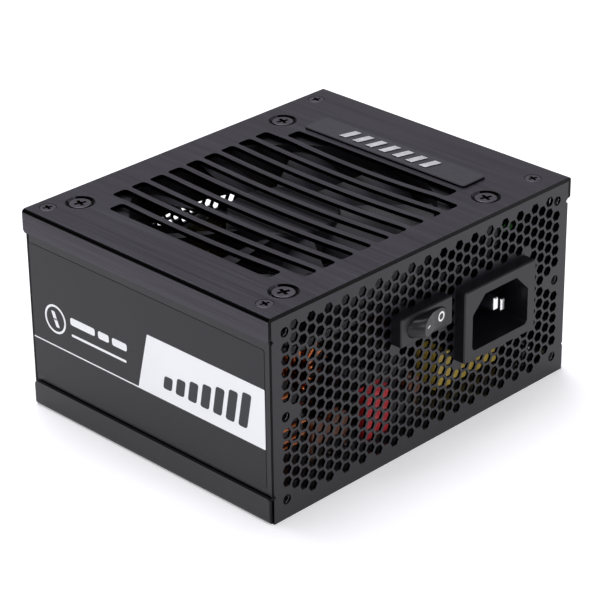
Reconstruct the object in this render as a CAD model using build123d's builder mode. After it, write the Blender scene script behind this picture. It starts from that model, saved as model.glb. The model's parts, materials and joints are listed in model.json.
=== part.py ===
from build123d import *
import math
import os

# Power supply unit, small form factor, millimetres.
# +Z is up and the origin is the centre of the bottom face of the case.
# The mains side (switch, inlet, vents) faces -Y and the output sockets face +Y.

# Case
CASE_W = 125.0
CASE_D = 100.0
CASE_H = 63.5
SHEET = 0.8
TOP_T = 1.2
LIP_T = 1.0
FIT_GAP = 0.1
TOP_LIP_H = 7.3
TRAY_LIP_H = 8.0
BEND_R = 1.2
PANEL_W = CASE_W - 2 * LIP_T - 2 * FIT_GAP
PANEL_H = CASE_H - TOP_T - FIT_GAP
COVER_W = CASE_W - 2 * LIP_T - 2 * FIT_GAP
COVER_D = CASE_D - 2 * SHEET - 2 * FIT_GAP
COVER_TOP = CASE_H - TOP_T
COVER_UNDER = COVER_TOP - SHEET
PANEL_INNER_Y = CASE_D / 2 - SHEET
WALL_INNER_X = COVER_W / 2 - SHEET

# Mounting holes of the mains side
MOUNT_SPACING_X = 113.0
MOUNT_SPACING_Z = 51.5
MOUNT_MID_Z = 31.75
MOUNT_HOLE_R = 1.5
MOUNT_BOSS_R = 2.6
MOUNT_BOSS_L = 2.5

# Hexagonal vent holes
VENT_FLATS = 2.95
VENT_PITCH_X = 3.309
VENT_PITCH_Z = 3.749
VENT_HALF_COLUMNS = 17
VENT_HALF_ROWS = 7
VENT_MID_Z = 32.2
VENT_CLEARANCE = 3.64
RELIEF = 1.1
OUTPUT_VENT_LOW = 39.0
LATCH_LAND = 4.2

# Mains switch
SWITCH_X = -4.3
SWITCH_Z = 42.05
SWITCH_W = 21.4
SWITCH_H = 8.9
BEZEL_OUT = 3.8
FLANGE_LAP_X = 0.8
FLANGE_LAP_Z = 1.0
SWITCH_BODY_L = 13.5
ROCKER_R = 9.1
ROCKER_HALF_Z = 2.85
ROCKER_PIVOT_DEPTH = 4.4
ROCKER_FACE_ANGLE = 45.0
ROCKER_VALLEY = 5.6
ROCKER_TILT = 15.0
ROCKER_GAP = 0.15
PIVOT_R = 0.8

# Mains inlet
INLET_X = 27.45
INLET_Z = 33.45
INLET_W = 31.2
INLET_H = 22.9
INLET_CAVITY_W = 24.4
INLET_CAVITY_H = 16.8
INLET_CHAMFER = 5.3
INLET_DEPTH = 16.0
INLET_LAP_X = 1.7
INLET_LAP_Z = 1.5
PIN_W = 2.0
PIN_H = 4.0
PIN_SPACING = 7.0
PIN_RISE = 2.0
PIN_TAIL = 8.0
PIN_INSET = 4.9
EARTH_PIN_INSET = 1.6

# Fan and grille
FAN_X = -6.7
FAN_Y = 0.0
FAN_SIZE = 92.0
FAN_T = 15.0
FAN_HOLE_PITCH = 82.5
FAN_DUCT_R = 44.4
FAN_BLADES = 9
FAN_TIP_R = 43.4
HUB_R = 16.5
SHAFT_R = 1.5
FAN_TOP = COVER_UNDER
FAN_BOTTOM = FAN_TOP - FAN_T
SLOT_COUNT = 11
SLOT_PITCH = 7.22
SLOT_W = 5.2
SLOT_MID_Y = -0.4
SLOT_LONG = 78.2
SLOT_SHORT = 64.8
SLOT_CORNER = 1.2
BAR_DIP_LOW = 0.75
BAR_DIP_HIGH = 1.1
BAR_END_LAND = 2.6

# Screws of the top
FAN_SCREW_HEAD_R = 3.3
FAN_SCREW_R = 2.2
CORNER_SCREW_HEAD_R = 2.5
CORNER_SCREW_R = 1.4
SCREW_TURN = -18.0
FAN_SCREW_SINK = 1.0
FAN_SCREW_DIMPLE_R = 4.4
CORNER_SCREWS = ((-56.5, 45.5), (53.8, 45.5), (-56.5, -42.75), (53.8, -42.75))

# Name strip on the top
STRIP_X = 39.5
STRIP_W = 10.2
STRIP_T = 0.8
STRIP_BARS = 7

# Boards
BOARD_T = 1.6
BOARD_Z = 5.0
BOARD_TOP = BOARD_Z + BOARD_T
BOARD_W = 115.0
BOARD_FRONT_Y = -45.5
BOARD_BACK_Y = 33.0
STANDOFFS = ((-53.0, -38.0), (53.5, -41.0), (-53.0, 5.0), (53.5, 29.0))
OUTPUT_BOARD_Y = 34.5
OUTPUT_BOARD_TOP = 45.5

# Output sockets: centre x, centre z and contact columns
CONTACT_PITCH = 4.2
CELL = 3.7
SOCKET_WALL = 0.6
SOCKET_FRONT_Y = 49.9
SOCKET_CELL_DEPTH = 10.0
SOCKETS_BOARD = ((-34.0, 14.0, 9), (1.0, 14.0, 5))
SOCKETS_DRIVE = ((25.0, 14.0, 3), (45.0, 14.0, 3))
SOCKETS_POWER = ((-42.0, 32.5, 4), (-18.0, 32.5, 4), (6.0, 32.5, 4), (30.0, 32.5, 4))
ALL_SOCKETS = SOCKETS_BOARD + SOCKETS_DRIVE + SOCKETS_POWER

# Electronics, each placed by its footprint on the board
BULK_CAP_XY = (38.0, -7.0)
BULK_CAP_R = 15.0
BULK_CAP_H = 35.0
LINE_CHOKE_X = -46.0
LINE_CHOKE_Y = -29.0
CHOKE_R = 12.0
CHOKE_HOLE_R = 5.0
CHOKE_T = 10.0
PFC_CHOKE_XY = (-25.5, -17.0)
PFC_CHOKE_R = 12.0
PFC_CHOKE_HOLE_R = 6.0
PFC_CHOKE_T = 11.0
LINE_CAP_XY = (27.7, -37.6)
LINE_CAP_W = 28.0
LINE_CAP_D = 8.4
LINE_CAP_H = 12.0
LINE_CAP_LEAD_H = 1.6
LINE_CAP_LEAD_X = 11.0
RED_CAP_XY = (-14.3, -42.5)
RED_CAP_W = 9.2
RED_CAP_D = 4.4
RED_CAP_H = 14.7
DISC_CAPS = ((-35.3, 3.8), (-27.0, 3.8), (3.6, 2.8))
DISC_CAP_Y = -41.0
DISC_CAP_RISE = 8.0
TRANSFORMER_XY = (4.0, 7.0)
TRANSFORMER_W = 30.0
TRANSFORMER_D = 24.0
TRANSFORMER_H = 28.0
TRANSFORMER_LEG_H = 4.0
HEATSINK_XY = (5.0, -16.0)
HEATSINK_W = 30.0
HEATSINK_H = 33.0
HEATSINK_T = 2.5
HEATSINK_FINS = 7
HEATSINK_FIN_PITCH = 4.6
HEATSINK_FIN_T = 1.2
HEATSINK_FIN_D = 5.0
HEATSINK_FIN_RISE = 3.0
TRANSISTOR_PITCH = 9.5
TRANSISTOR_SIZE = (9.0, 4.4, 12.0)
TRANSISTOR_RISE = 8.0
TRANSISTOR_LEGS = (-2.5, 0.0, 2.5)
FUSE_XY = (-4.0, -42.0)
FUSE_SIZE = (8.5, 4.0, 7.0)
FILTER_XY = (-4.0, -31.0)
FILTER_OUTER = (20.0, 14.0)
FILTER_INNER = (9.0, 6.0)
FILTER_H = 12.0
FILTER_RISE = 2.0
FILTER_FOOT_Y = 5.5
FILTER_FOOT = (16.0, 2.0, FILTER_RISE)
STANDBY_XY = (-48.5, -4.5)
STANDBY_CORE = (15.0, 8.0, 15.0)
STANDBY_WINDING = (11.0, 13.0, 10.0)
STANDBY_WINDING_RISE = 2.5
OUTPUT_CAPS_XY = (-35.0, 20.0)
OUTPUT_CAP_PITCH = (10.6, 11.0)
OUTPUT_CAP_R = 4.9
OUTPUT_CAP_H = 21.0
POLYMER_CAPS_XY = (40.0, 17.5)
POLYMER_CAP_PITCH = 9.0
POLYMER_CAP_R = 4.0
POLYMER_CAP_H = 11.5
CONVERTER_X = 39.0
CONVERTER_YS = (11.5, 25.0)
CONVERTER_SIZE = (34.0, 1.2, 26.0)
COIL_XS = (28.0, 39.0, 50.0)
COIL_Y = 28.1
COIL_RISE = 10.0
COIL_SIZE = (8.0, 5.0, 8.0)
CONTROL_XY = (-27.0, 8.5)
CONTROL_SIZE = (26.0, 1.2, 22.0)
CHIPS_XZ = ((-33.0, 12.0), (-24.0, 14.0), (-19.0, 6.0))
CHIP_Y = 7.2
CHIP_SIZE = (5.0, 1.4, 4.0)
RECTIFIER_XY = (28.5, -26.0)
RECTIFIER_SIZE = (22.0, 3.6, 17.0)
RECTIFIER_RISE = 4.0
RECTIFIER_LEADS = (-7.5, -2.5, 2.5, 7.5)
BUS_BAR_XS = (-45.0, -22.0, 8.0, 21.0)
BUS_BAR_W = 7.0


def fan_slots():
    """Return (x, length) of each grille slot, left to right."""
    half = (SLOT_COUNT - 1) // 2
    slots = []
    for index in range(-half, half + 1):
        length = SLOT_SHORT if abs(index) == half else SLOT_LONG
        slots.append((FAN_X + 0.1 + index * SLOT_PITCH, length))
    return slots


def fan_screw_points():
    """Return the four corner points of the fan's screw pattern."""
    half = FAN_HOLE_PITCH / 2
    return [(FAN_X + sx * half, FAN_Y + sy * half) for sx in (-1, 1) for sy in (-1, 1)]


def mount_points():
    """Return (x, z) of the six mounting holes of the mains side."""
    rows = (-MOUNT_SPACING_Z / 2, 0.0, MOUNT_SPACING_Z / 2)
    return [(sx * MOUNT_SPACING_X / 2, MOUNT_MID_Z + dz) for sx in (-1, 1) for dz in rows]


def vent_points(keep_out):
    """Return hexagon centres clear of the mounting holes and of each (x0, x1, z0, z1) area."""
    points = []
    for column in range(-VENT_HALF_COLUMNS, VENT_HALF_COLUMNS + 1):
        odd = (column + VENT_HALF_COLUMNS) % 2 == 1
        rows = VENT_HALF_ROWS if odd else VENT_HALF_ROWS - 0.5
        for step in range(int(2 * rows) + 1):
            x = column * VENT_PITCH_X
            z = VENT_MID_Z + (step - rows) * VENT_PITCH_Z
            near_mount = any(math.dist((x, z), hole) < VENT_CLEARANCE for hole in mount_points())
            blocked = any(x0 < x < x1 and z0 < z < z1 for x0, x1, z0, z1 in keep_out)
            if not near_mount and not blocked:
                points.append((x, z))
    return points


def make_tray():
    """Bottom pan: a floor with a low lip along each side."""
    with BuildPart() as tray:
        with BuildSketch(Plane.XZ.offset(-PANEL_INNER_Y)) as section:
            with Locations((0, TRAY_LIP_H / 2)):
                Rectangle(CASE_W, TRAY_LIP_H)
            fillet(section.vertices().group_by(Axis.Y)[0], radius=BEND_R)
            with Locations((0, TRAY_LIP_H / 2 + LIP_T)):
                Rectangle(CASE_W - 2 * LIP_T, TRAY_LIP_H, mode=Mode.SUBTRACT)
        extrude(amount=2 * PANEL_INNER_Y)
        lip_ends = tray.edges().filter_by(Axis.X).group_by(Axis.Z)[-1]
        fillet(lip_ends, radius=BEND_R)
        with BuildSketch(Plane.XY):
            with Locations(*STANDOFFS):
                Circle(MOUNT_HOLE_R)
        extrude(amount=LIP_T, mode=Mode.SUBTRACT)
    return tray


def make_io_panel():
    """Flat mains-side panel with vents, cut-outs and mounting holes."""
    switch_land = (-15.2, 7.0, 35.0, 47.0)
    inlet_land = (11.5, 44.5, 20.5, 46.5)
    with BuildPart() as io_panel:
        with BuildSketch(Plane.XZ.offset(PANEL_INNER_Y)):
            with Locations((0, PANEL_H / 2)):
                Rectangle(PANEL_W, PANEL_H)
            with Locations(*vent_points((switch_land, inlet_land))):
                RegularPolygon(VENT_FLATS / math.sqrt(3), 6, mode=Mode.SUBTRACT)
            with Locations(*mount_points()):
                Circle(MOUNT_HOLE_R, mode=Mode.SUBTRACT)
            with Locations((SWITCH_X, SWITCH_Z)):
                Rectangle(SWITCH_W - 2 * FLANGE_LAP_X, SWITCH_H - 2 * FLANGE_LAP_Z, mode=Mode.SUBTRACT)
            with Locations((INLET_X, INLET_Z)):
                Rectangle(INLET_W - 2 * INLET_LAP_X, INLET_H - 2 * INLET_LAP_Z, mode=Mode.SUBTRACT)
            relief_z = (TRAY_LIP_H + 0.4, CASE_H - TOP_LIP_H - 0.2)
            with Locations(*[(sx * PANEL_W / 2, z) for sx in (-1, 1) for z in relief_z]):
                Rectangle(RELIEF, RELIEF, rotation=45, mode=Mode.SUBTRACT)
        extrude(amount=SHEET)
    return io_panel


def make_mount_bosses():
    """Six threaded bosses behind the mounting holes."""
    with BuildPart() as mount_bosses:
        with BuildSketch(Plane.XZ.offset(PANEL_INNER_Y)):
            with Locations(*mount_points()):
                Circle(MOUNT_BOSS_R)
                Circle(MOUNT_HOLE_R, mode=Mode.SUBTRACT)
        extrude(amount=-MOUNT_BOSS_L)
        rims = mount_bosses.edges().filter_by(GeomType.CIRCLE).group_by(Axis.Y)[-1]
        chamfer(rims.filter_by(lambda edge: edge.radius > MOUNT_HOLE_R + 0.1), length=0.4)
    return mount_bosses


def socket_width(columns):
    """Outer width of a socket with that many contact columns."""
    return columns * CONTACT_PITCH + 2 * SOCKET_WALL


def socket_height():
    """Outer height of a two-row socket."""
    return 2 * CONTACT_PITCH + 2 * SOCKET_WALL


def make_output_panel():
    """Flat output-side panel with a cut-out for each socket and vents above them."""
    edge = 0.3
    socket_land = (-CASE_W, CASE_W, 0.0, OUTPUT_VENT_LOW)
    latch_lands = [(x - LATCH_LAND, x + LATCH_LAND, 0.0, OUTPUT_VENT_LOW + 2.0) for x, _, _ in SOCKETS_POWER]
    with BuildPart() as output_panel:
        with BuildSketch(Plane.XZ.offset(-CASE_D / 2)):
            with Locations((0, PANEL_H / 2)):
                Rectangle(PANEL_W, PANEL_H)
            with Locations(*vent_points((socket_land, *latch_lands))):
                RegularPolygon(VENT_FLATS / math.sqrt(3), 6, mode=Mode.SUBTRACT)
            for x, z, columns in ALL_SOCKETS:
                hole_w = socket_width(columns) + edge
                hole_h = socket_height() + edge
                with Locations((x, z)):
                    RectangleRounded(hole_w, hole_h, 0.4, mode=Mode.SUBTRACT)
                with Locations((x, z + socket_height() / 2 + 0.9)):
                    Rectangle(4.4, 2.0, mode=Mode.SUBTRACT)
        extrude(amount=SHEET)
    return output_panel


def make_cover():
    """Inner U-shaped cover: two side walls and a top with the fan opening."""
    low = LIP_T + 0.2
    height = COVER_TOP - low
    with BuildPart() as cover:
        with BuildSketch(Plane.XZ.offset(-COVER_D / 2)) as section:
            with Locations((0, low + height / 2)):
                Rectangle(COVER_W, height)
            fillet(section.vertices().group_by(Axis.Y)[-1], radius=BEND_R)
            with Locations((0, low + height / 2 - SHEET)):
                Rectangle(COVER_W - 2 * SHEET, height, mode=Mode.SUBTRACT)
        extrude(amount=COVER_D)
        with BuildSketch(Plane.XY.offset(COVER_TOP)):
            with Locations((FAN_X, SLOT_MID_Y)):
                RectangleRounded(80.0, 80.0, 8.0)
            with Locations(*fan_screw_points()):
                Circle(FAN_SCREW_R + 0.3)
            with Locations(*CORNER_SCREWS):
                Circle(CORNER_SCREW_R + 0.1)
        extrude(amount=-SHEET, mode=Mode.SUBTRACT)
    return cover


def make_top_plate():
    """Brushed top plate with side lips and the slotted, slightly dished fan grille."""
    under = CASE_H - TOP_T
    slots = fan_slots()
    bar_w = SLOT_PITCH - SLOT_W
    with BuildPart() as top_plate:
        with BuildSketch(Plane.XZ.offset(-CASE_D / 2)) as section:
            with Locations((0, CASE_H - TOP_LIP_H / 2)):
                Rectangle(CASE_W, TOP_LIP_H)
            fillet(section.vertices().group_by(Axis.Y)[-1], radius=BEND_R)
            with Locations((0, under - TOP_LIP_H / 2)):
                Rectangle(CASE_W - 2 * LIP_T, TOP_LIP_H, mode=Mode.SUBTRACT)
        extrude(amount=CASE_D)
        lip_ends = top_plate.edges().filter_by(Axis.X).group_by(Axis.Z)[0]
        fillet(lip_ends, radius=BEND_R)
        with BuildSketch(Plane.XY.offset(CASE_H)):
            for x, length in slots:
                with Locations((x, SLOT_MID_Y)):
                    RectangleRounded(SLOT_W, length, SLOT_CORNER)
            for left, right in zip(slots, slots[1:]):
                with Locations(((left[0] + right[0]) / 2, SLOT_MID_Y)):
                    Rectangle(bar_w + 0.4, min(left[1], right[1]) - 2 * BAR_END_LAND)
        extrude(amount=-TOP_T, mode=Mode.SUBTRACT)
        for index, (left, right) in enumerate(zip(slots, slots[1:])):
            half = min(left[1], right[1]) / 2 - BAR_END_LAND
            dip = BAR_DIP_LOW + (BAR_DIP_HIGH - BAR_DIP_LOW) * min(1.0, index / 4)
            low_y = SLOT_MID_Y - half
            high_y = SLOT_MID_Y + half
            with BuildSketch(Plane.YZ.offset((left[0] + right[0]) / 2 - bar_w / 2)):
                with BuildLine():
                    upper = ThreePointArc((low_y, CASE_H), (SLOT_MID_Y, CASE_H - dip), (high_y, CASE_H))
                    lower = ThreePointArc((low_y, under), (SLOT_MID_Y, under - dip), (high_y, under))
                    Line(upper @ 0, lower @ 0)
                    Line(upper @ 1, lower @ 1)
                make_face()
            extrude(amount=bar_w)
        with BuildSketch(Plane.XY.offset(CASE_H)):
            with Locations(*fan_screw_points()):
                Circle(FAN_SCREW_R + 0.3)
            with Locations(*CORNER_SCREWS):
                Circle(CORNER_SCREW_R + 0.1)
        extrude(amount=-TOP_T, mode=Mode.SUBTRACT)
        with BuildSketch(Plane.XY.offset(CASE_H)):
            with Locations(*CORNER_SCREWS):
                Circle(CORNER_SCREW_HEAD_R + 0.06)
        extrude(amount=-0.8, mode=Mode.SUBTRACT)
        with Locations(*[(x, y, CASE_H) for x, y in fan_screw_points()]):
            Cone(FAN_SCREW_HEAD_R + 0.15, FAN_SCREW_DIMPLE_R, FAN_SCREW_SINK,
                 align=(Align.CENTER, Align.CENTER, Align.MAX), mode=Mode.SUBTRACT)
    return top_plate


def make_corner_brackets():
    """Four angles that tie the cover to the top plate's corner screws."""
    with BuildPart() as corner_brackets:
        for x, y in CORNER_SCREWS:
            side = math.copysign(1.0, x)
            reach = WALL_INNER_X - abs(x) + 3.4
            with BuildSketch(Plane.XY.offset(COVER_UNDER)):
                with Locations((side * (WALL_INNER_X - reach / 2), y)):
                    Rectangle(reach, 6.6)
                with Locations((x, y)):
                    Circle(CORNER_SCREW_R + 0.1, mode=Mode.SUBTRACT)
            extrude(amount=-1.0)
            with BuildSketch(Plane.XY.offset(COVER_UNDER)):
                with Locations((side * (WALL_INNER_X - 0.5), y)):
                    Rectangle(1.0, 6.6)
            extrude(amount=-9.0)
    return corner_brackets


def screw_set(points, head_z, head_r, head_h, shank_r, shank_l, recess):
    """Cross-head screws standing in -Z, one solid at each point."""
    arm_l = 1.15 * head_r
    arm_w = 0.32 * head_r
    with BuildPart() as screws:
        with BuildSketch(Plane.XY.offset(head_z)):
            with Locations(*points):
                Circle(head_r)
        extrude(amount=head_h)
        fillet(screws.edges().group_by(Axis.Z)[-1], radius=min(0.35, head_h / 3))
        with BuildSketch(Plane.XY.offset(head_z)):
            with Locations(*points):
                Circle(shank_r)
        extrude(amount=-shank_l)
        with BuildSketch(Plane.XY.offset(head_z + head_h)):
            with Locations(*points):
                Rectangle(arm_l, arm_w, rotation=SCREW_TURN)
                Rectangle(arm_l, arm_w, rotation=SCREW_TURN + 90)
                Circle(0.26 * head_r)
        extrude(amount=-recess, mode=Mode.SUBTRACT)
    return screws


def make_fan_screws():
    """Four fan screws, seated in the dimples of the top plate."""
    seat = CASE_H - FAN_SCREW_SINK
    return screw_set(fan_screw_points(), seat, FAN_SCREW_HEAD_R, 0.8, FAN_SCREW_R, 10.6, 0.55)


def make_corner_screws():
    """Four flush screws at the corners of the top plate."""
    return screw_set(CORNER_SCREWS, CASE_H - 0.8, CORNER_SCREW_HEAD_R, 0.8, CORNER_SCREW_R, 6.0, 0.5)


def make_name_strip():
    """Raised strip beside the grille."""
    with BuildPart() as name_strip:
        with BuildSketch(Plane.XY.offset(CASE_H)):
            with Locations((STRIP_X, SLOT_MID_Y)):
                RectangleRounded(STRIP_W, SLOT_SHORT, SLOT_CORNER)
        extrude(amount=STRIP_T)
        chamfer(name_strip.edges().group_by(Axis.Z)[-1], length=0.25)
    return name_strip


def make_strip_bars():
    """Plain slanted bars on the strip."""
    pitch = 5.4
    rise = 2.8
    with BuildPart() as strip_bars:
        with BuildSketch(Plane.XY.offset(CASE_H + STRIP_T)):
            for index in range(STRIP_BARS):
                y = SLOT_MID_Y + (index - (STRIP_BARS - 1) / 2) * pitch
                with Locations((STRIP_X - 0.2, y)):
                    Polygon((-rise, 0.6), (-rise, 3.2), (rise, 1.6), (rise, -1.0))
        extrude(amount=0.25)
    return strip_bars


def side_sheet(side, low_y, high_y, low_z, high_z, thickness):
    """Thin rounded sticker on the outer face of one side wall."""
    start = COVER_W / 2 if side > 0 else -COVER_W / 2 - thickness
    with BuildPart() as sheet:
        with BuildSketch(Plane.YZ.offset(start)):
            with Locations(((low_y + high_y) / 2, (low_z + high_z) / 2)):
                RectangleRounded(high_y - low_y, high_z - low_z, 0.8)
        extrude(amount=thickness)
    return sheet


def make_side_label():
    """Printed sticker that covers the -X wall between the lips."""
    return side_sheet(-1, -47.2, 49.0, 10.0, 53.0, 0.12)


def make_rating_label():
    """Rating sticker on the +X wall."""
    return side_sheet(1, -47.0, 47.0, 10.0, 54.0, 0.12)


def make_fan_frame():
    """Square fan frame: two flanges, a round duct, corner posts, struts and the motor seat."""
    with BuildPart() as fan_frame:
        for base in (FAN_BOTTOM, FAN_TOP - 2.5):
            with BuildSketch(Plane.XY.offset(base)):
                with Locations((FAN_X, FAN_Y)):
                    RectangleRounded(FAN_SIZE, FAN_SIZE, 4.0)
            extrude(amount=2.5)
        with BuildSketch(Plane.XY.offset(FAN_BOTTOM)):
            with Locations((FAN_X, FAN_Y)):
                Circle(FAN_DUCT_R + 1.5)
            with Locations(*fan_screw_points()):
                Circle(4.0)
        extrude(amount=FAN_T)
        with BuildSketch(Plane.XY.offset(FAN_BOTTOM)):
            with Locations((FAN_X, FAN_Y)):
                Circle(FAN_DUCT_R)
            with Locations(*fan_screw_points()):
                Circle(FAN_SCREW_R + 0.1)
        extrude(amount=FAN_T, mode=Mode.SUBTRACT)
        with BuildSketch(Plane.XY.offset(FAN_BOTTOM)):
            with Locations((FAN_X, FAN_Y)):
                Circle(17.0)
                with PolarLocations(30.5, 4, start_angle=25):
                    Rectangle(30.0, 3.6)
        extrude(amount=2.2)
        with BuildSketch(Plane.XY.offset(FAN_BOTTOM)):
            with Locations((FAN_X, FAN_Y)):
                Circle(4.6)
        extrude(amount=11.0)
        with BuildSketch(Plane.XY.offset(FAN_BOTTOM + 1.2)):
            with Locations((FAN_X, FAN_Y)):
                Circle(3.0)
        extrude(amount=9.8, mode=Mode.SUBTRACT)
    return fan_frame


def make_fan_bearing():
    """Sleeve bearing in the motor seat."""
    with BuildPart() as fan_bearing:
        with BuildSketch(Plane.XY.offset(FAN_BOTTOM + 2.2)):
            with Locations((FAN_X, FAN_Y)):
                Circle(2.95)
                Circle(SHAFT_R + 0.04, mode=Mode.SUBTRACT)
        extrude(amount=8.6)
    return fan_bearing


def make_fan_shaft():
    """Steel shaft of the rotor."""
    with BuildPart() as fan_shaft:
        with Locations((FAN_X, FAN_Y, FAN_BOTTOM + 1.6)):
            Cylinder(SHAFT_R, 11.6, align=(Align.CENTER, Align.CENTER, Align.MIN))
    return fan_shaft


def make_fan_stator():
    """Four-pole laminated core around the motor seat."""
    with BuildPart() as fan_stator:
        with BuildSketch(Plane.XY.offset(FAN_BOTTOM + 4.5)):
            with Locations((FAN_X, FAN_Y)):
                Circle(12.4)
                Circle(9.8, mode=Mode.SUBTRACT)
                with PolarLocations(11.0, 4, start_angle=45):
                    Rectangle(4.0, 2.6, mode=Mode.SUBTRACT)
                Circle(6.2)
                with PolarLocations(8.0, 4):
                    Rectangle(5.0, 3.0)
                Circle(4.65, mode=Mode.SUBTRACT)
        extrude(amount=4.5)
    return fan_stator


def make_fan_windings():
    """Copper coil round each of the four stator arms."""
    arm_mid_r = 7.95
    with BuildPart() as fan_windings:
        with Locations((FAN_X, FAN_Y, FAN_BOTTOM + 6.75)):
            with PolarLocations(arm_mid_r, 4):
                Box(2.6, 5.4, 5.6)
                Box(3.2, 3.1, 4.6, mode=Mode.SUBTRACT)
    return fan_windings


def make_fan_rotor():
    """Hub cup and swept blades."""
    blade_mid_z = FAN_BOTTOM + 8.6
    root_r = HUB_R - 1.0
    with BuildPart() as fan_rotor:
        for index in range(FAN_BLADES):
            angle = index * 360 / FAN_BLADES
            spoke = Plane(origin=(FAN_X, FAN_Y, blade_mid_z),
                          x_dir=(math.cos(math.radians(angle)), math.sin(math.radians(angle)), 0))
            root = Plane(spoke.from_local_coords((root_r, 0, 0)), x_dir=spoke.y_dir, z_dir=spoke.x_dir)
            tip_point = spoke.from_local_coords((FAN_TIP_R + 1.5, -9.0, 0))
            tip = Plane(tip_point, x_dir=spoke.y_dir, z_dir=spoke.x_dir)
            for plane, half, pitch, bow in ((root, 5.4, 42.0, 1.3), (tip, 10.5, 25.0, 1.7)):
                with BuildSketch(plane) as section:
                    with BuildLine(Plane.XY.rotated((0, 0, pitch))):
                        outer = ThreePointArc((-half, 0), (0, bow + 0.55), (half, 0))
                        ThreePointArc(outer @ 0, (0, bow - 0.55), outer @ 1)
                    make_face()
            loft()
        with Locations((FAN_X, FAN_Y, blade_mid_z)):
            Cylinder(FAN_TIP_R, 30.0, mode=Mode.INTERSECT)
        with BuildSketch(Plane.XY.offset(FAN_BOTTOM + 3.6)):
            with Locations((FAN_X, FAN_Y)):
                Circle(HUB_R)
        extrude(amount=10.2)
        fillet(fan_rotor.edges().filter_by(GeomType.CIRCLE).group_by(Axis.Z)[-1], radius=1.0)
        with BuildSketch(Plane.XY.offset(FAN_BOTTOM + 2.0)):
            with Locations((FAN_X, FAN_Y)):
                Circle(HUB_R - 1.5)
        extrude(amount=10.4, mode=Mode.SUBTRACT)
        with BuildSketch(Plane.XY.offset(FAN_BOTTOM + 11.4)):
            with Locations((FAN_X, FAN_Y)):
                Circle(3.4)
        extrude(amount=1.2)
        with BuildSketch(Plane.XY.offset(FAN_BOTTOM + 11.0)):
            with Locations((FAN_X, FAN_Y)):
                Circle(SHAFT_R)
        extrude(amount=2.2, mode=Mode.SUBTRACT)
    return fan_rotor


def make_fan_magnet():
    """Ring magnet inside the hub cup."""
    with BuildPart() as fan_magnet:
        with BuildSketch(Plane.XY.offset(FAN_BOTTOM + 3.8)):
            with Locations((FAN_X, FAN_Y)):
                Circle(HUB_R - 1.55)
                Circle(HUB_R - 3.4, mode=Mode.SUBTRACT)
        extrude(amount=7.0)
    return fan_magnet


def make_switch_body():
    """Switch housing: flange outside the panel, body behind it and the rocker's pocket."""
    face_y = -CASE_D / 2 - BEZEL_OUT
    pivot = (SWITCH_X, face_y + ROCKER_PIVOT_DEPTH, SWITCH_Z)
    pocket_half = ROCKER_HALF_Z + ROCKER_GAP
    core_r = ROCKER_R - ROCKER_HALF_Z
    with BuildPart() as switch_body:
        with BuildSketch(Plane.XZ.offset(CASE_D / 2)):
            with Locations((SWITCH_X, SWITCH_Z)):
                RectangleRounded(SWITCH_W, SWITCH_H, 0.5)
        extrude(amount=BEZEL_OUT)
        chamfer(switch_body.faces().sort_by(Axis.Y)[0].edges(), length=0.3)
        with BuildSketch(Plane.XZ.offset(CASE_D / 2)):
            with Locations((SWITCH_X, SWITCH_Z)):
                Rectangle(SWITCH_W - 2 * FLANGE_LAP_X - 0.2, SWITCH_H - 2 * FLANGE_LAP_Z - 0.2)
        extrude(amount=-SWITCH_BODY_L)
        with Locations(pivot):
            Cylinder(core_r, 2 * pocket_half, mode=Mode.SUBTRACT)
            Torus(core_r, pocket_half, mode=Mode.SUBTRACT)
            Cylinder(PIVOT_R + 0.05, 2 * ROCKER_HALF_Z + 1.0, mode=Mode.SUBTRACT)
    return switch_body


def make_switch_rocker():
    """Rocker with its end at the O mark pressed in, turning on two side stubs."""
    pivot_y = -CASE_D / 2 - BEZEL_OUT + ROCKER_PIVOT_DEPTH
    core_r = ROCKER_R - ROCKER_HALF_Z
    corner = ROCKER_R * math.cos(math.radians(ROCKER_FACE_ANGLE))
    slope = (corner - ROCKER_VALLEY) / corner
    tilt = math.radians(ROCKER_TILT)
    lean = (math.cos(tilt), math.sin(tilt), 0)
    tilted = Plane(origin=(SWITCH_X, pivot_y, SWITCH_Z), x_dir=lean, z_dir=(0, 0, 1))
    with BuildPart() as switch_rocker:
        with Locations((SWITCH_X, pivot_y, SWITCH_Z)):
            Cylinder(core_r, 2 * ROCKER_HALF_Z)
            Torus(core_r, ROCKER_HALF_Z)
        with BuildSketch(tilted.offset(-ROCKER_HALF_Z)):
            with BuildLine():
                Polyline(
                    (0, -ROCKER_VALLEY),
                    (ROCKER_R, -ROCKER_VALLEY - slope * ROCKER_R),
                    (ROCKER_R, 1.2),
                    (-ROCKER_R, 1.2),
                    (-ROCKER_R, -ROCKER_VALLEY - slope * ROCKER_R),
                    close=True,
                )
            make_face()
        extrude(amount=2 * ROCKER_HALF_Z, mode=Mode.INTERSECT)
        with Locations((SWITCH_X, pivot_y, SWITCH_Z)):
            Cylinder(PIVOT_R, 2 * ROCKER_HALF_Z + 0.8)
    return switch_rocker


def make_switch_terminals():
    """Two push-on blades at the back of the switch."""
    start = CASE_D / 2 - SWITCH_BODY_L
    with BuildPart() as switch_terminals:
        with BuildSketch(Plane.XZ.offset(start)):
            with Locations((SWITCH_X - 4.5, SWITCH_Z), (SWITCH_X + 4.5, SWITCH_Z)):
                Rectangle(0.8, 4.8)
        extrude(amount=-6.0)
    return switch_terminals


def inlet_outline(width, height, cut):
    """Inlet cavity outline: a rectangle with its two upper corners cut off."""
    with BuildSketch() as outline:
        with BuildLine():
            Polyline(
                (-width / 2, -height / 2),
                (width / 2, -height / 2),
                (width / 2, height / 2 - cut),
                (width / 2 - cut, height / 2),
                (-width / 2 + cut, height / 2),
                (-width / 2, height / 2 - cut),
                close=True,
            )
        make_face()
        fillet(outline.vertices().group_by(Axis.Y)[0], radius=1.6)
    return outline.sketch


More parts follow.
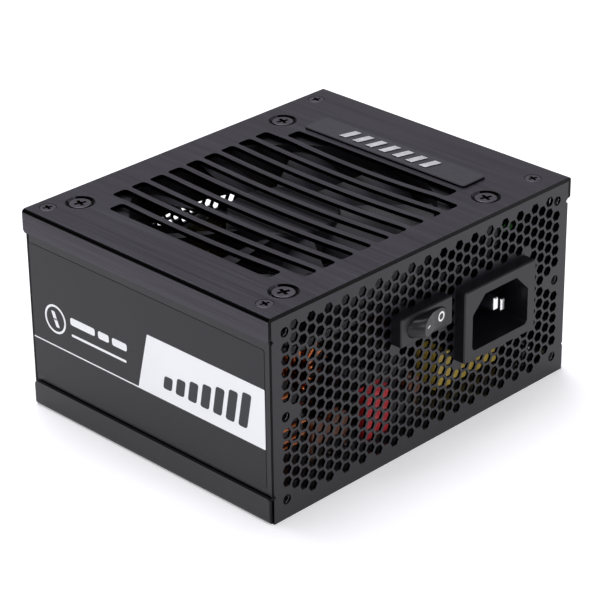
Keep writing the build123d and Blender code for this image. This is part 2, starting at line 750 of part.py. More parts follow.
def make_inlet_body():
    """Mains inlet: flange, cavity and rear body."""
    with BuildPart() as inlet_body:
        with BuildSketch(Plane.XZ.offset(CASE_D / 2)):
            with Locations((INLET_X, INLET_Z)):
                RectangleRounded(INLET_W, INLET_H, 0.8)
        extrude(amount=BEZEL_OUT)
        chamfer(inlet_body.faces().sort_by(Axis.Y)[0].edges(), length=0.35)
        with BuildSketch(Plane.XZ.offset(CASE_D / 2)):
            with Locations((INLET_X, INLET_Z)):
                Rectangle(INLET_W - 2 * INLET_LAP_X - 0.2, INLET_H - 2 * INLET_LAP_Z - 0.2)
        extrude(amount=-(INLET_DEPTH - BEZEL_OUT + 2.0))
        with BuildSketch(Plane.XZ.offset(CASE_D / 2 + BEZEL_OUT)):
            with Locations((INLET_X, INLET_Z)):
                add(inlet_outline(INLET_CAVITY_W, INLET_CAVITY_H, INLET_CHAMFER))
        extrude(amount=-INLET_DEPTH, mode=Mode.SUBTRACT)
        with BuildSketch(Plane.XZ.offset(CASE_D / 2)):
            with Locations(*inlet_pin_points()):
                Rectangle(PIN_W, PIN_H)
        extrude(amount=-(INLET_DEPTH + 2.0), mode=Mode.SUBTRACT)
    return inlet_body


def inlet_pin_points():
    """Centres of the earth, line and neutral pins."""
    return [
        (INLET_X, INLET_Z + PIN_RISE),
        (INLET_X - PIN_SPACING, INLET_Z - PIN_RISE),
        (INLET_X + PIN_SPACING, INLET_Z - PIN_RISE),
    ]


def make_inlet_pins():
    """Three contact blades with solder tails behind the inlet."""
    mouth = CASE_D / 2 + BEZEL_OUT
    tail = INLET_DEPTH + PIN_TAIL
    with BuildPart() as inlet_pins:
        for point, inset in zip(inlet_pin_points(), (EARTH_PIN_INSET, PIN_INSET, PIN_INSET)):
            with BuildPart() as pin:
                with BuildSketch(Plane.XZ.offset(mouth - inset)):
                    with Locations(point):
                        Rectangle(PIN_W - 0.02, PIN_H - 0.02)
                extrude(amount=inset - tail)
                chamfer(pin.faces().sort_by(Axis.Y)[0].edges(), length=0.35)
    return inlet_pins


def block(x, y, base_z, width, depth, height, edge=0.0):
    """Upright box centred on (x, y) with optional rounded vertical edges."""
    with BuildPart() as piece:
        with BuildSketch(Plane.XY.offset(base_z)):
            with Locations((x, y)):
                Rectangle(width, depth)
        extrude(amount=height)
        if edge > 0:
            fillet(piece.edges().filter_by(Axis.Z), radius=edge)
    return piece.part


def drum(x, y, base_z, radius, height):
    """Upright cylinder centred on (x, y)."""
    with BuildPart() as piece:
        with Locations((x, y, base_z)):
            Cylinder(radius, height, align=(Align.CENTER, Align.CENTER, Align.MIN))
    return piece.part


def make_insulation_sheet():
    """Insulating sheet between the floor and the board."""
    with BuildPart() as insulation_sheet:
        with BuildSketch(Plane.XY.offset(LIP_T)):
            with Locations((0, (BOARD_FRONT_Y + BOARD_BACK_Y) / 2)):
                Rectangle(BOARD_W + 2, BOARD_BACK_Y - BOARD_FRONT_Y)
            with Locations(*STANDOFFS):
                Circle(3.0, mode=Mode.SUBTRACT)
        extrude(amount=0.4)
    return insulation_sheet


def make_standoffs():
    """Four threaded posts under the board."""
    with BuildPart() as standoffs:
        with BuildSketch(Plane.XY.offset(LIP_T)):
            with Locations(*STANDOFFS):
                RegularPolygon(2.7, 6)
                Circle(MOUNT_HOLE_R, mode=Mode.SUBTRACT)
        extrude(amount=BOARD_Z - LIP_T)
    return standoffs


def make_board_screws():
    """Four screws that hold the board down."""
    return screw_set(STANDOFFS, BOARD_TOP, 2.8, 1.8, MOUNT_HOLE_R - 0.1, 5.2, 0.9)


def make_main_board():
    """Main circuit board."""
    with BuildPart() as main_board:
        with BuildSketch(Plane.XY.offset(BOARD_Z)):
            with Locations((0, (BOARD_FRONT_Y + BOARD_BACK_Y) / 2)):
                Rectangle(BOARD_W, BOARD_BACK_Y - BOARD_FRONT_Y)
            with Locations(*STANDOFFS):
                Circle(MOUNT_HOLE_R + 0.1, mode=Mode.SUBTRACT)
        extrude(amount=BOARD_T)
    return main_board


def ring(plane, outer_r, inner_r, thickness):
    """Ring with its axis along the plane's normal, centred on the plane."""
    with BuildPart() as piece:
        with BuildSketch(plane.offset(-thickness / 2)):
            Circle(outer_r)
            Circle(inner_r, mode=Mode.SUBTRACT)
        extrude(amount=thickness)
    return piece.part


def choke_winding(plane, outer_r, inner_r, thickness, wire_r, turns, arc_deg):
    """Separate wire loops wound round a ring over part of its circle."""
    mid_r = (outer_r + inner_r) / 2
    half_w = (outer_r - inner_r) / 2 + wire_r + 0.1
    half_h = thickness / 2 + wire_r + 0.1
    with BuildPart() as loops:
        for index in range(turns):
            angle = math.radians((index / (turns - 1) - 0.5) * arc_deg + 90)
            radial = plane.x_dir * math.cos(angle) + plane.y_dir * math.sin(angle)
            across = plane.z_dir.cross(radial)
            loop_plane = Plane(origin=plane.origin + radial * mid_r, x_dir=radial, z_dir=across)
            with BuildLine(loop_plane) as path:
                corners = ((-half_w, -half_h), (half_w, -half_h), (half_w, half_h), (-half_w, half_h))
                FilletPolyline(*corners, radius=wire_r + 0.3, close=True)
            with BuildSketch(Plane(origin=path.line @ 0, z_dir=path.line % 0)):
                Circle(wire_r)
            sweep(path=path.line)
    return loops.part


def line_choke_plane():
    """Upright plane of the line choke, its axis along X."""
    seat = BOARD_TOP + CHOKE_R + 2.6
    return Plane(origin=(LINE_CHOKE_X, LINE_CHOKE_Y, seat), x_dir=(0, 1, 0), z_dir=(1, 0, 0))


def pfc_choke_plane():
    """Upright plane of the boost choke, its axis along Y."""
    seat = BOARD_TOP + PFC_CHOKE_R + 2.8
    return Plane(origin=(*PFC_CHOKE_XY, seat), x_dir=(1, 0, 0), z_dir=(0, -1, 0))


def make_line_choke_core():
    """Ferrite ring of the line choke and its foot."""
    with BuildPart() as line_choke_core:
        add(ring(line_choke_plane(), CHOKE_R, CHOKE_HOLE_R, CHOKE_T))
        add(block(LINE_CHOKE_X, LINE_CHOKE_Y, BOARD_TOP, 5.0, 3.0, 3.5))
    return line_choke_core


def make_line_choke_winding():
    """Enamelled copper turns of the line choke, over all but its foot."""
    with BuildPart() as line_choke_winding:
        add(choke_winding(line_choke_plane(), CHOKE_R, CHOKE_HOLE_R, CHOKE_T, 0.6, 16, 300))
    return line_choke_winding


def make_pfc_choke_core():
    """Ring of the boost choke and its foot."""
    with BuildPart() as pfc_choke_core:
        add(ring(pfc_choke_plane(), PFC_CHOKE_R, PFC_CHOKE_HOLE_R, PFC_CHOKE_T))
        add(block(*PFC_CHOKE_XY, BOARD_TOP, 4.0, 6.0, 3.5))
    return pfc_choke_core


def make_pfc_choke_winding():
    """Enamelled copper turns of the boost choke."""
    with BuildPart() as pfc_choke_winding:
        add(choke_winding(pfc_choke_plane(), PFC_CHOKE_R, PFC_CHOKE_HOLE_R, PFC_CHOKE_T, 0.65, 18, 300))
    return pfc_choke_winding


def make_line_capacitor():
    """Yellow film capacitor below the inlet, on two stout leads."""
    x, y = LINE_CAP_XY
    with BuildPart() as line_capacitor:
        add(block(x, y, BOARD_TOP + LINE_CAP_LEAD_H, LINE_CAP_W, LINE_CAP_D, LINE_CAP_H, 0.8))
        chamfer(line_capacitor.faces().sort_by(Axis.Z)[-1].edges(), length=0.5)
        for side in (-1, 1):
            add(block(x + side * LINE_CAP_LEAD_X, y, BOARD_TOP, 1.2, 1.2, LINE_CAP_LEAD_H))
    return line_capacitor


def make_red_capacitor():
    """Red boxed film capacitor near the mains panel."""
    with BuildPart() as red_capacitor:
        add(block(*RED_CAP_XY, BOARD_TOP, RED_CAP_W, RED_CAP_D, RED_CAP_H, 0.6))
        chamfer(red_capacitor.faces().sort_by(Axis.Z)[-1].edges(), length=0.4)
    return red_capacitor


def make_disc_capacitors():
    """Three lead-standing disc capacitors."""
    with BuildPart() as disc_capacitors:
        for x, radius in DISC_CAPS:
            with Locations(Location((x, DISC_CAP_Y, BOARD_TOP + DISC_CAP_RISE), (90, 0, 0))):
                Cylinder(radius, 3.0)
            for side in (-1, 1):
                add(drum(x + side * 0.65 * radius, DISC_CAP_Y, BOARD_TOP, 0.35, DISC_CAP_RISE - 1.5))
    return disc_capacitors


def make_fuse():
    """Fuse with end caps in two clips."""
    with BuildPart() as fuse:
        add(block(*FUSE_XY, BOARD_TOP, *FUSE_SIZE, 0.5))
    return fuse


def make_line_filter_core():
    """Square common-mode choke core."""
    x, y = FILTER_XY
    with BuildPart() as line_filter_core:
        with BuildSketch(Plane.XY.offset(BOARD_TOP + FILTER_RISE)):
            with Locations(FILTER_XY):
                RectangleRounded(*FILTER_OUTER, 1.5)
                RectangleRounded(*FILTER_INNER, 0.8, mode=Mode.SUBTRACT)
        extrude(amount=FILTER_H)
        for side in (-1, 1):
            add(block(x, y + side * FILTER_FOOT_Y, BOARD_TOP, *FILTER_FOOT))
    return line_filter_core


def make_bulk_capacitor():
    """Large electrolytic capacitor with a shallow vented top."""
    x, y = BULK_CAP_XY
    with BuildPart() as bulk_capacitor:
        add(drum(x, y, BOARD_TOP, BULK_CAP_R, BULK_CAP_H))
        fillet(bulk_capacitor.edges().group_by(Axis.Z)[-1], radius=0.8)
        with BuildSketch(Plane.XY.offset(BOARD_TOP + BULK_CAP_H)):
            with Locations((x, y)):
                Circle(BULK_CAP_R - 1.6)
        extrude(amount=-0.5, mode=Mode.SUBTRACT)
        with BuildSketch(Plane.XY.offset(BOARD_TOP + BULK_CAP_H - 0.5)):
            with Locations((x, y)):
                Rectangle(16.0, 0.5)
                Rectangle(0.5, 16.0)
        extrude(amount=-0.3, mode=Mode.SUBTRACT)
    return bulk_capacitor


def make_heatsink():
    """Upright aluminium heat sink with fins on its back."""
    x, y = HEATSINK_XY
    with BuildPart() as heatsink:
        add(block(x, y, BOARD_TOP, HEATSINK_W, HEATSINK_T, HEATSINK_H))
        fin_y = y + HEATSINK_T / 2 + HEATSINK_FIN_D / 2 - 0.15
        fin_z = BOARD_TOP + HEATSINK_FIN_RISE
        fin_h = HEATSINK_H - HEATSINK_FIN_RISE
        for index in range(HEATSINK_FINS):
            fin_x = x + (index - HEATSINK_FINS // 2) * HEATSINK_FIN_PITCH
            add(block(fin_x, fin_y, fin_z, HEATSINK_FIN_T, HEATSINK_FIN_D, fin_h))
    return heatsink


def make_transistors():
    """Three power transistors on the heat sink's front face."""
    x, y = HEATSINK_XY
    body_y = y - HEATSINK_T / 2 - TRANSISTOR_SIZE[1] / 2
    with BuildPart() as transistors:
        for index in (-1, 0, 1):
            centre = x + index * TRANSISTOR_PITCH - 0.5
            add(block(centre, body_y, BOARD_TOP + TRANSISTOR_RISE, *TRANSISTOR_SIZE))
            for leg in TRANSISTOR_LEGS:
                add(block(centre + leg, body_y, BOARD_TOP, 0.9, 0.5, TRANSISTOR_RISE))
    return transistors


def make_transformer_core():
    """Ferrite core halves round the main transformer's windings."""
    x, y = TRANSFORMER_XY
    base = BOARD_TOP + TRANSFORMER_LEG_H
    height = TRANSFORMER_H - TRANSFORMER_LEG_H
    with BuildPart() as transformer_core:
        add(block(x, y, base, TRANSFORMER_W, 14.0, height))
        with BuildSketch(Plane.XZ.offset(-y - 7.0)):
            for side in (-1, 1):
                with Locations((x + side * 9.0, base + height / 2)):
                    Rectangle(7.0, height - 2 * TRANSFORMER_LEG_H)
        extrude(amount=14.0, mode=Mode.SUBTRACT)
    return transformer_core


def make_transformer_winding():
    """Taped winding of the main transformer, wound round the core's middle leg."""
    x, y = TRANSFORMER_XY
    base = BOARD_TOP + 8.1
    height = TRANSFORMER_H - 12.2
    with BuildPart() as transformer_winding:
        add(block(x, y, base, 24.8, TRANSFORMER_D, height, 2.0))
        with BuildSketch(Plane.XY.offset(base)):
            with Locations((x, y)):
                Rectangle(11.1, 14.1)
        extrude(amount=height, mode=Mode.SUBTRACT)
        for end in (-1, 1):
            add(block(x, y + end * 9.6, BOARD_TOP, 22.0, 4.0, 8.1))
    return transformer_winding


def make_standby_transformer():
    """Small standby transformer."""
    with BuildPart() as standby_transformer:
        add(block(*STANDBY_XY, BOARD_TOP, *STANDBY_CORE))
        add(block(*STANDBY_XY, BOARD_TOP + STANDBY_WINDING_RISE, *STANDBY_WINDING, 1.0))
    return standby_transformer


def make_output_capacitors():
    """Two rows of output electrolytic capacitors."""
    with BuildPart() as output_capacitors:
        with BuildSketch(Plane.XY.offset(BOARD_TOP)):
            with Locations(OUTPUT_CAPS_XY):
                with GridLocations(*OUTPUT_CAP_PITCH, 4, 2):
                    Circle(OUTPUT_CAP_R)
        extrude(amount=OUTPUT_CAP_H)
        fillet(output_capacitors.edges().group_by(Axis.Z)[-1], radius=0.6)
    return output_capacitors


def make_polymer_capacitors():
    """Polymer capacitors in front of the converter boards."""
    with BuildPart() as polymer_capacitors:
        with BuildSketch(Plane.XY.offset(BOARD_TOP)):
            with Locations(POLYMER_CAPS_XY):
                with GridLocations(POLYMER_CAP_PITCH, POLYMER_CAP_PITCH, 4, 1):
                    Circle(POLYMER_CAP_R)
        extrude(amount=POLYMER_CAP_H)
        fillet(polymer_capacitors.edges().group_by(Axis.Z)[-1], radius=0.5)
    return polymer_capacitors


def make_converter_boards():
    """Two upright converter boards."""
    with BuildPart() as converter_boards:
        for y in CONVERTER_YS:
            add(block(CONVERTER_X, y, BOARD_TOP, *CONVERTER_SIZE))
    return converter_boards


def make_converter_coils():
    """Moulded inductors on the converter boards."""
    with BuildPart() as converter_coils:
        for x in COIL_XS:
            add(block(x, COIL_Y, BOARD_TOP + COIL_RISE, *COIL_SIZE, 0.6))
    return converter_coils


def make_control_board():
    """Upright control board between the chokes and the outputs."""
    with BuildPart() as control_board:
        add(block(*CONTROL_XY, BOARD_TOP, *CONTROL_SIZE))
    return control_board


def make_control_chips():
    """Controller and supervisor chips on the control board."""
    with BuildPart() as control_chips:
        for x, z in CHIPS_XZ:
            add(block(x, CHIP_Y, BOARD_TOP + z, *CHIP_SIZE))
    return control_chips


def make_rectifier():
    """Bridge rectifier beside the boost choke."""
    x, y = RECTIFIER_XY
    with BuildPart() as rectifier:
        add(block(x, y, BOARD_TOP + RECTIFIER_RISE, *RECTIFIER_SIZE, 0.6))
        for lead in RECTIFIER_LEADS:
            add(block(x + lead, y, BOARD_TOP, 1.2, 0.8, RECTIFIER_RISE))
    return rectifier


def make_output_board():
    """Upright board that carries the output sockets."""
    with BuildPart() as output_board:
        with BuildSketch(Plane.XZ.offset(-OUTPUT_BOARD_Y)):
            with Locations((0, (4.0 + OUTPUT_BOARD_TOP) / 2)):
                Rectangle(BOARD_W, OUTPUT_BOARD_TOP - 4.0)
        extrude(amount=-BOARD_T)
    return output_board


def make_bus_bars():
    """Copper angles that join the two boards."""
    with BuildPart() as bus_bars:
        for x in BUS_BAR_XS:
            add(block(x, OUTPUT_BOARD_Y - 2.0, BOARD_TOP, BUS_BAR_W, 4.0, 1.0))
            add(block(x, OUTPUT_BOARD_Y - 0.5, BOARD_TOP, BUS_BAR_W, 1.0, 9.0))
    return bus_bars


def socket_cells(x, z, columns):
    """Centres of a socket's two rows of cells."""
    cells = []
    for column in range(columns):
        for row in (-0.5, 0.5):
            cells.append((x + (column - (columns - 1) / 2) * CONTACT_PITCH, z + row * CONTACT_PITCH))
    return cells


def socket_block(sockets):
    """Socket housings, one solid each, with open cells and a latch ramp on top."""
    front = -SOCKET_FRONT_Y
    with BuildPart() as housings:
        with BuildSketch(Plane.XZ.offset(front)):
            for x, z, columns in sockets:
                with Locations((x, z)):
                    RectangleRounded(socket_width(columns), socket_height(), 0.3)
        extrude(amount=SOCKET_FRONT_Y - OUTPUT_BOARD_Y - BOARD_T)
        for x, z, columns in sockets:
            with BuildSketch(Plane.XZ.offset(front)):
                with Locations((x, z + socket_height() / 2 + 0.7)):
                    Rectangle(4.0, 1.6)
            extrude(amount=3.0)
        with BuildSketch(Plane.XZ.offset(front)):
            for x, z, columns in sockets:
                for index, cell in enumerate(socket_cells(x, z, columns)):
                    with Locations(cell):
                        if index % 3 == 1:
                            RegularPolygon(CELL / 2, 8, major_radius=False, rotation=22.5)
                        else:
                            Rectangle(CELL, CELL)
        extrude(amount=SOCKET_CELL_DEPTH, mode=Mode.SUBTRACT)
        with BuildSketch(Plane.XZ.offset(front)):
            for x, z, columns in sockets:
                with Locations(*socket_cells(x, z, columns)):
                    Rectangle(1.2, 1.2)
        extrude(amount=SOCKET_FRONT_Y - OUTPUT_BOARD_Y - BOARD_T, mode=Mode.SUBTRACT)
    return housings


def make_socket_pins():
    """Square contact pins of every output socket."""
    with BuildPart() as socket_pins:
        with BuildSketch(Plane.XZ.offset(-OUTPUT_BOARD_Y - BOARD_T)):
            for x, z, columns in ALL_SOCKETS:
                with Locations(*socket_cells(x, z, columns)):
                    Rectangle(1.1, 1.1)
        extrude(amount=-(SOCKET_FRONT_Y - OUTPUT_BOARD_Y - BOARD_T - 2.0))
    return socket_pins


def wire(points, radius, bend):
    """Round wire through the points, with one bend radius at each corner."""
    with BuildPart() as tube:
        with BuildLine() as path:
            FilletPolyline(*points, radius=bend)
        with BuildSketch(Plane(origin=path.line @ 0, z_dir=path.line % 0)):
            Circle(radius)
        sweep(path=path.line)
    return tube


def make_line_wire():
    """Line wire from the inlet to the switch."""
    back_y = -CASE_D / 2 + SWITCH_BODY_L + 6.0
    tail_y = -CASE_D / 2 - BEZEL_OUT + INLET_DEPTH + 8.0
    x = INLET_X - PIN_SPACING
    z = INLET_Z - PIN_RISE
    points = ((x, tail_y, z), (x, tail_y + 4.5, z), (12.0, tail_y + 4.5, SWITCH_Z - 1.0),
              (SWITCH_X + 4.5, back_y + 5.0, SWITCH_Z), (SWITCH_X + 4.5, back_y, SWITCH_Z))
    return wire(points, 1.1, 2.0)


def make_neutral_wire():
    """Neutral wire from the inlet down to the board."""
    tail_y = -CASE_D / 2 - BEZEL_OUT + INLET_DEPTH + 8.0
    x = INLET_X + PIN_SPACING
    z = INLET_Z - PIN_RISE
    bend_y = tail_y + 3.4
    land_x = 46.5
    points = ((x, tail_y, z), (x, bend_y, z), (land_x, bend_y, z - 6.0), (land_x, bend_y, BOARD_TOP))
    return wire(points, 1.1, 2.0)


def make_earth_wire():
    """Earth wire from the inlet to a lug on the side wall."""
    tail_y = -CASE_D / 2 - BEZEL_OUT + INLET_DEPTH + 8.0
    x = INLET_X
    z = INLET_Z + PIN_RISE
    wall_x = WALL_INNER_X
    points = ((x, tail_y, z), (x, tail_y + 3.0, z), (x + 12.0, tail_y + 3.0, z + 4.0),
              (wall_x - 6.0, tail_y + 1.0, z + 6.0), (wall_x, tail_y + 1.0, z + 6.0))
    return wire(points, 1.1, 1.4)


MAKERS = {
    "tray": make_tray,
    "io_panel": make_io_panel,
    "mount_bosses": make_mount_bosses,
    "output_panel": make_output_panel,
    "cover": make_cover,
    "top_plate": make_top_plate,
    "corner_brackets": make_corner_brackets,
    "fan_screws": make_fan_screws,
    "corner_screws": make_corner_screws,
    "name_strip": make_name_strip,
    "strip_bars": make_strip_bars,
    "side_label": make_side_label,
    "rating_label": make_rating_label,
    "fan_frame": make_fan_frame,
    "fan_bearing": make_fan_bearing,
    "fan_shaft": make_fan_shaft,
    "fan_stator": make_fan_stator,
    "fan_windings": make_fan_windings,
    "fan_rotor": make_fan_rotor,
    "fan_magnet": make_fan_magnet,
    "switch_body": make_switch_body,
    "switch_rocker": make_switch_rocker,
    "switch_terminals": make_switch_terminals,
    "inlet_body": make_inlet_body,
    "inlet_pins": make_inlet_pins,
    "insulation_sheet": make_insulation_sheet,
    "standoffs": make_standoffs,
    "board_screws": make_board_screws,
    "main_board": make_main_board,
    "line_choke_core": make_line_choke_core,
    "line_choke_winding": make_line_choke_winding,
    "pfc_choke_core": make_pfc_choke_core,
    "pfc_choke_winding": make_pfc_choke_winding,
    "line_capacitor": make_line_capacitor,
    "red_capacitor": make_red_capacitor,
    "disc_capacitors": make_disc_capacitors,
    "fuse": make_fuse,
    "line_filter_core": make_line_filter_core,
    "bulk_capacitor": make_bulk_capacitor,
    "heatsink": make_heatsink,
    "transistors": make_transistors,
    "transformer_core": make_transformer_core,
    "transformer_winding": make_transformer_winding,
    "standby_transformer": make_standby_transformer,
    "output_capacitors": make_output_capacitors,
    "polymer_capacitors": make_polymer_capacitors,
    "converter_boards": make_converter_boards,
    "converter_coils": make_converter_coils,
    "control_board": make_control_board,
    "control_chips": make_control_chips,
    "rectifier": make_rectifier,
    "output_board": make_output_board,
    "bus_bars": make_bus_bars,
    "sockets_board": lambda: socket_block(SOCKETS_BOARD),
    "sockets_drive": lambda: socket_block(SOCKETS_DRIVE),
    "sockets_power": lambda: socket_block(SOCKETS_POWER),
    "socket_pins": make_socket_pins,
    "line_wire": make_line_wire,
    "neutral_wire": make_neutral_wire,
    "earth_wire": make_earth_wire,
}


def main():
    """Build every piece and write one STEP file for each."""
    os.makedirs("parts", exist_ok=True)
    for name, maker in MAKERS.items():
        piece = maker()
        piece.part.label = name
        export_step(piece.part, f"parts/{name}.step")


if __name__ == "__main__":
    main()
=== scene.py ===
"""Looks of a small form factor power supply, built around its fixed CAD frame."""

import json
import logging
import math
from collections.abc import Callable, Iterable
from dataclasses import dataclass, field
from enum import Enum

import bpy
from mathutils import Matrix, Vector

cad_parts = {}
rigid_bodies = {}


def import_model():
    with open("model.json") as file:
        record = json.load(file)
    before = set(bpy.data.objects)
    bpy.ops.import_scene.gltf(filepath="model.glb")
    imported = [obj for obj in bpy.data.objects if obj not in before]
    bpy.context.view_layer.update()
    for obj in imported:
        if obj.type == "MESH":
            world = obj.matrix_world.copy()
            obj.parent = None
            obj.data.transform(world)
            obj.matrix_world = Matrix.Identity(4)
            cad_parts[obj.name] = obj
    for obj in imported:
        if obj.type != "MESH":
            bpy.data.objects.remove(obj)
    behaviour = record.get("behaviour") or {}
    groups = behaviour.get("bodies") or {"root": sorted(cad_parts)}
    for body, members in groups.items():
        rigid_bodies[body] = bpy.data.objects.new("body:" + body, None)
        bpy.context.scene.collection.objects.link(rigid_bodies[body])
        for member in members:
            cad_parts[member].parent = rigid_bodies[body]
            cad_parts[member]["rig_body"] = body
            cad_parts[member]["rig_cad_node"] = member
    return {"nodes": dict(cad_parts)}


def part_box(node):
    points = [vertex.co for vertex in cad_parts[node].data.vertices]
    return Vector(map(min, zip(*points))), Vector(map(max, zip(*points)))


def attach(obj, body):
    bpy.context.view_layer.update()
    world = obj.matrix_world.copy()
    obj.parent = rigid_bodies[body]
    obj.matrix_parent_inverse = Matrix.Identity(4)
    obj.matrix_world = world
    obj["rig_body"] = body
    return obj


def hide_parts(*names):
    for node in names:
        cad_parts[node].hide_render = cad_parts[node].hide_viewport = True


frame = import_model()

MM = 0.001
WELD = 2e-6
CASE_BODY = "case"
ROTOR_BODY = "rotor"
ROCKER_BODY = "rocker"

log = logging.getLogger("power_supply")

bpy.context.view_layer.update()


# ---------------------------------------------------------------- shader graph


class Signal:
    """A shader socket that takes part in Python arithmetic."""

    def __init__(self, graph: "Graph", socket: bpy.types.NodeSocket) -> None:
        """Wrap one output socket of a graph."""
        self.graph = graph
        self.socket = socket

    def _calc(self, operation: str, first: "Value", second: "Value") -> "Signal":
        """Add one Math node for an operation on two values."""
        return self.graph.node("ShaderNodeMath", {"operation": operation}, {0: first, 1: second})

    def __add__(self, other: "Value") -> "Signal":
        """Sum."""
        return self._calc("ADD", self, other)

    __radd__ = __add__

    def __sub__(self, other: "Value") -> "Signal":
        """Difference."""
        return self._calc("SUBTRACT", self, other)

    def __rsub__(self, other: "Value") -> "Signal":
        """Difference with the value on the left."""
        return self._calc("SUBTRACT", other, self)

    def __mul__(self, other: "Value") -> "Signal":
        """Product."""
        return self._calc("MULTIPLY", self, other)

    __rmul__ = __mul__

    def __truediv__(self, other: "Value") -> "Signal":
        """Quotient."""
        return self._calc("DIVIDE", self, other)

    def __gt__(self, other: "Value") -> "Signal":
        """One where this value is above the other, zero elsewhere."""
        return self._calc("GREATER_THAN", self, other)

    def __lt__(self, other: "Value") -> "Signal":
        """One where this value is below the other, zero elsewhere."""
        return self._calc("LESS_THAN", self, other)

    def __abs__(self) -> "Signal":
        """Size without sign."""
        return self._calc("ABSOLUTE", self, 0.0)

    def most(self, other: "Value") -> "Signal":
        """The larger of this value and another."""
        return self._calc("MAXIMUM", self, other)


Value = Signal | float | tuple | bpy.types.NodeSocket


class Graph:
    """Node tree of one material, with its Principled shader as the end."""

    def __init__(self, name: str) -> None:
        """Start an empty material that holds a Principled shader.

        Args:
            name: Name of the material.
        """
        self.material = bpy.data.materials.new(name)
        self.material.use_nodes = True
        self.tree = self.material.node_tree
        self.tree.nodes.clear()
        self.shader = self.tree.nodes.new("ShaderNodeBsdfPrincipled")
        output = self.tree.nodes.new("ShaderNodeOutputMaterial")
        self.tree.links.new(self.shader.outputs[0], output.inputs[0])
        coords = self.node("ShaderNodeTexCoord", output="Object")
        self.place = coords
        self.x = self.node("ShaderNodeSeparateXYZ", inputs={0: coords}, output=0)
        self.y = Signal(self, self.x.socket.node.outputs[1])
        self.z = Signal(self, self.x.socket.node.outputs[2])

    def feed(self, socket: bpy.types.NodeSocket, value: Value) -> None:
        """Link a signal to a socket, or set the socket's own value.

        Args:
            socket: Input socket to fill.
            value: Signal, number or tuple.
        """
        if isinstance(value, Signal):
            self.tree.links.new(value.socket, socket)
        elif isinstance(value, tuple) and len(value) == 3 and socket.type == "RGBA":
            socket.default_value = (*value, 1.0)
        else:
            socket.default_value = value

    def node(
        self,
        kind: str,
        settings: dict[str, object] | None = None,
        inputs: dict[int | str, Value] | None = None,
        output: int | str = 0,
    ) -> Signal:
        """Add any node, with its settings first and its sockets after them.

        Args:
            kind: Node type.
            settings: Node properties; "stops" fills a colour ramp.
            inputs: Socket name or index to value.
            output: Output socket to return.

        Returns:
            The chosen output.
        """
        made = self.tree.nodes.new(kind)
        for key, value in (settings or {}).items():
            if key == "stops":
                self._fill_ramp(made, value)
            else:
                setattr(made, key, value)
        for key, value in (inputs or {}).items():
            self.feed(made.inputs[key], value)
        return Signal(self, made.outputs[output])

    @staticmethod
    def _fill_ramp(made: bpy.types.Node, stops: list[tuple[float, float]]) -> None:
        """Set a ramp's stops from (position, grey) pairs."""
        ramp = made.color_ramp
        while len(ramp.elements) < len(stops):
            ramp.elements.new(0.5)
        for element, (position, grey) in zip(ramp.elements, stops):
            element.position = position
            element.color = (grey, grey, grey, 1.0)

    def stretched(self, x: float, y: float, z: float) -> Signal:
        """Object coordinates scaled along each axis.

        Args:
            x: Scale along X, per metre.
            y: Scale along Y, per metre.
            z: Scale along Z, per metre.

        Returns:
            The scaled coordinates.
        """
        return self.node("ShaderNodeMapping", inputs={"Vector": self.place, "Scale": (x, y, z)})

    def noise(self, scale: float, detail: float = 2.0, place: Signal | None = None) -> Signal:
        """Noise of 0 to 1 at a scale per metre.

        Args:
            scale: Grains per metre.
            detail: Octaves.
            place: Coordinates, or None for the object's own.

        Returns:
            The noise value.
        """
        inputs = {"Vector": place or self.place, "Scale": scale, "Detail": detail}
        return self.node("ShaderNodeTexNoise", {"noise_dimensions": "3D"}, inputs)

    def levels(self, value: Signal, low: float, high: float) -> Signal:
        """Spread a value so that low becomes 0 and high becomes 1."""
        settings = {"clamp": True}
        return self.node("ShaderNodeMapRange", settings, {"Value": value, "From Min": low, "From Max": high})

    def mix(self, factor: Value, first: Value, second: Value) -> Signal:
        """Blend two colours by a factor."""
        return self.node("ShaderNodeMix", {"data_type": "RGBA"}, {0: factor, 6: first, 7: second}, output=2)

    def normal_part(self, axis: int) -> Signal:
        """One component of the surface normal."""
        normal = self.node("ShaderNodeNewGeometry", output="Normal")
        return self.node("ShaderNodeSeparateXYZ", inputs={0: normal}, output=axis)

    def bump(self, height: Signal, depth: float, strength: float = 1.0) -> None:
        """Raise the surface by a height signal.

        Args:
            height: Height of 0 to 1.
            depth: Real height of 1, in metres.
            strength: Share of the effect.
        """
        inputs = {"Height": height, "Distance": depth, "Strength": strength}
        self.feed(self.shader.inputs["Normal"], self.node("ShaderNodeBump", {}, inputs))

    def shade(self, **sockets: Value) -> bpy.types.Material:
        """Fill the shader's sockets by name, with underscores for spaces.

        Args:
            **sockets: Socket name to value.

        Returns:
            The finished material.
        """
        for key, value in sockets.items():
            self.feed(self.shader.inputs[key.replace("_", " ")], value)
        return self.material


Color = tuple[float, float, float]
# Near-black colour that the masks below paint in as shade and dark reflection.
PAINTED_SHADE_COLOR: Color = (0.0012, 0.0012, 0.0015)


def scaled(color: Color, factor: float) -> Color:
    """A colour made lighter or darker by a factor."""
    return tuple(min(1.0, part * factor) for part in color)


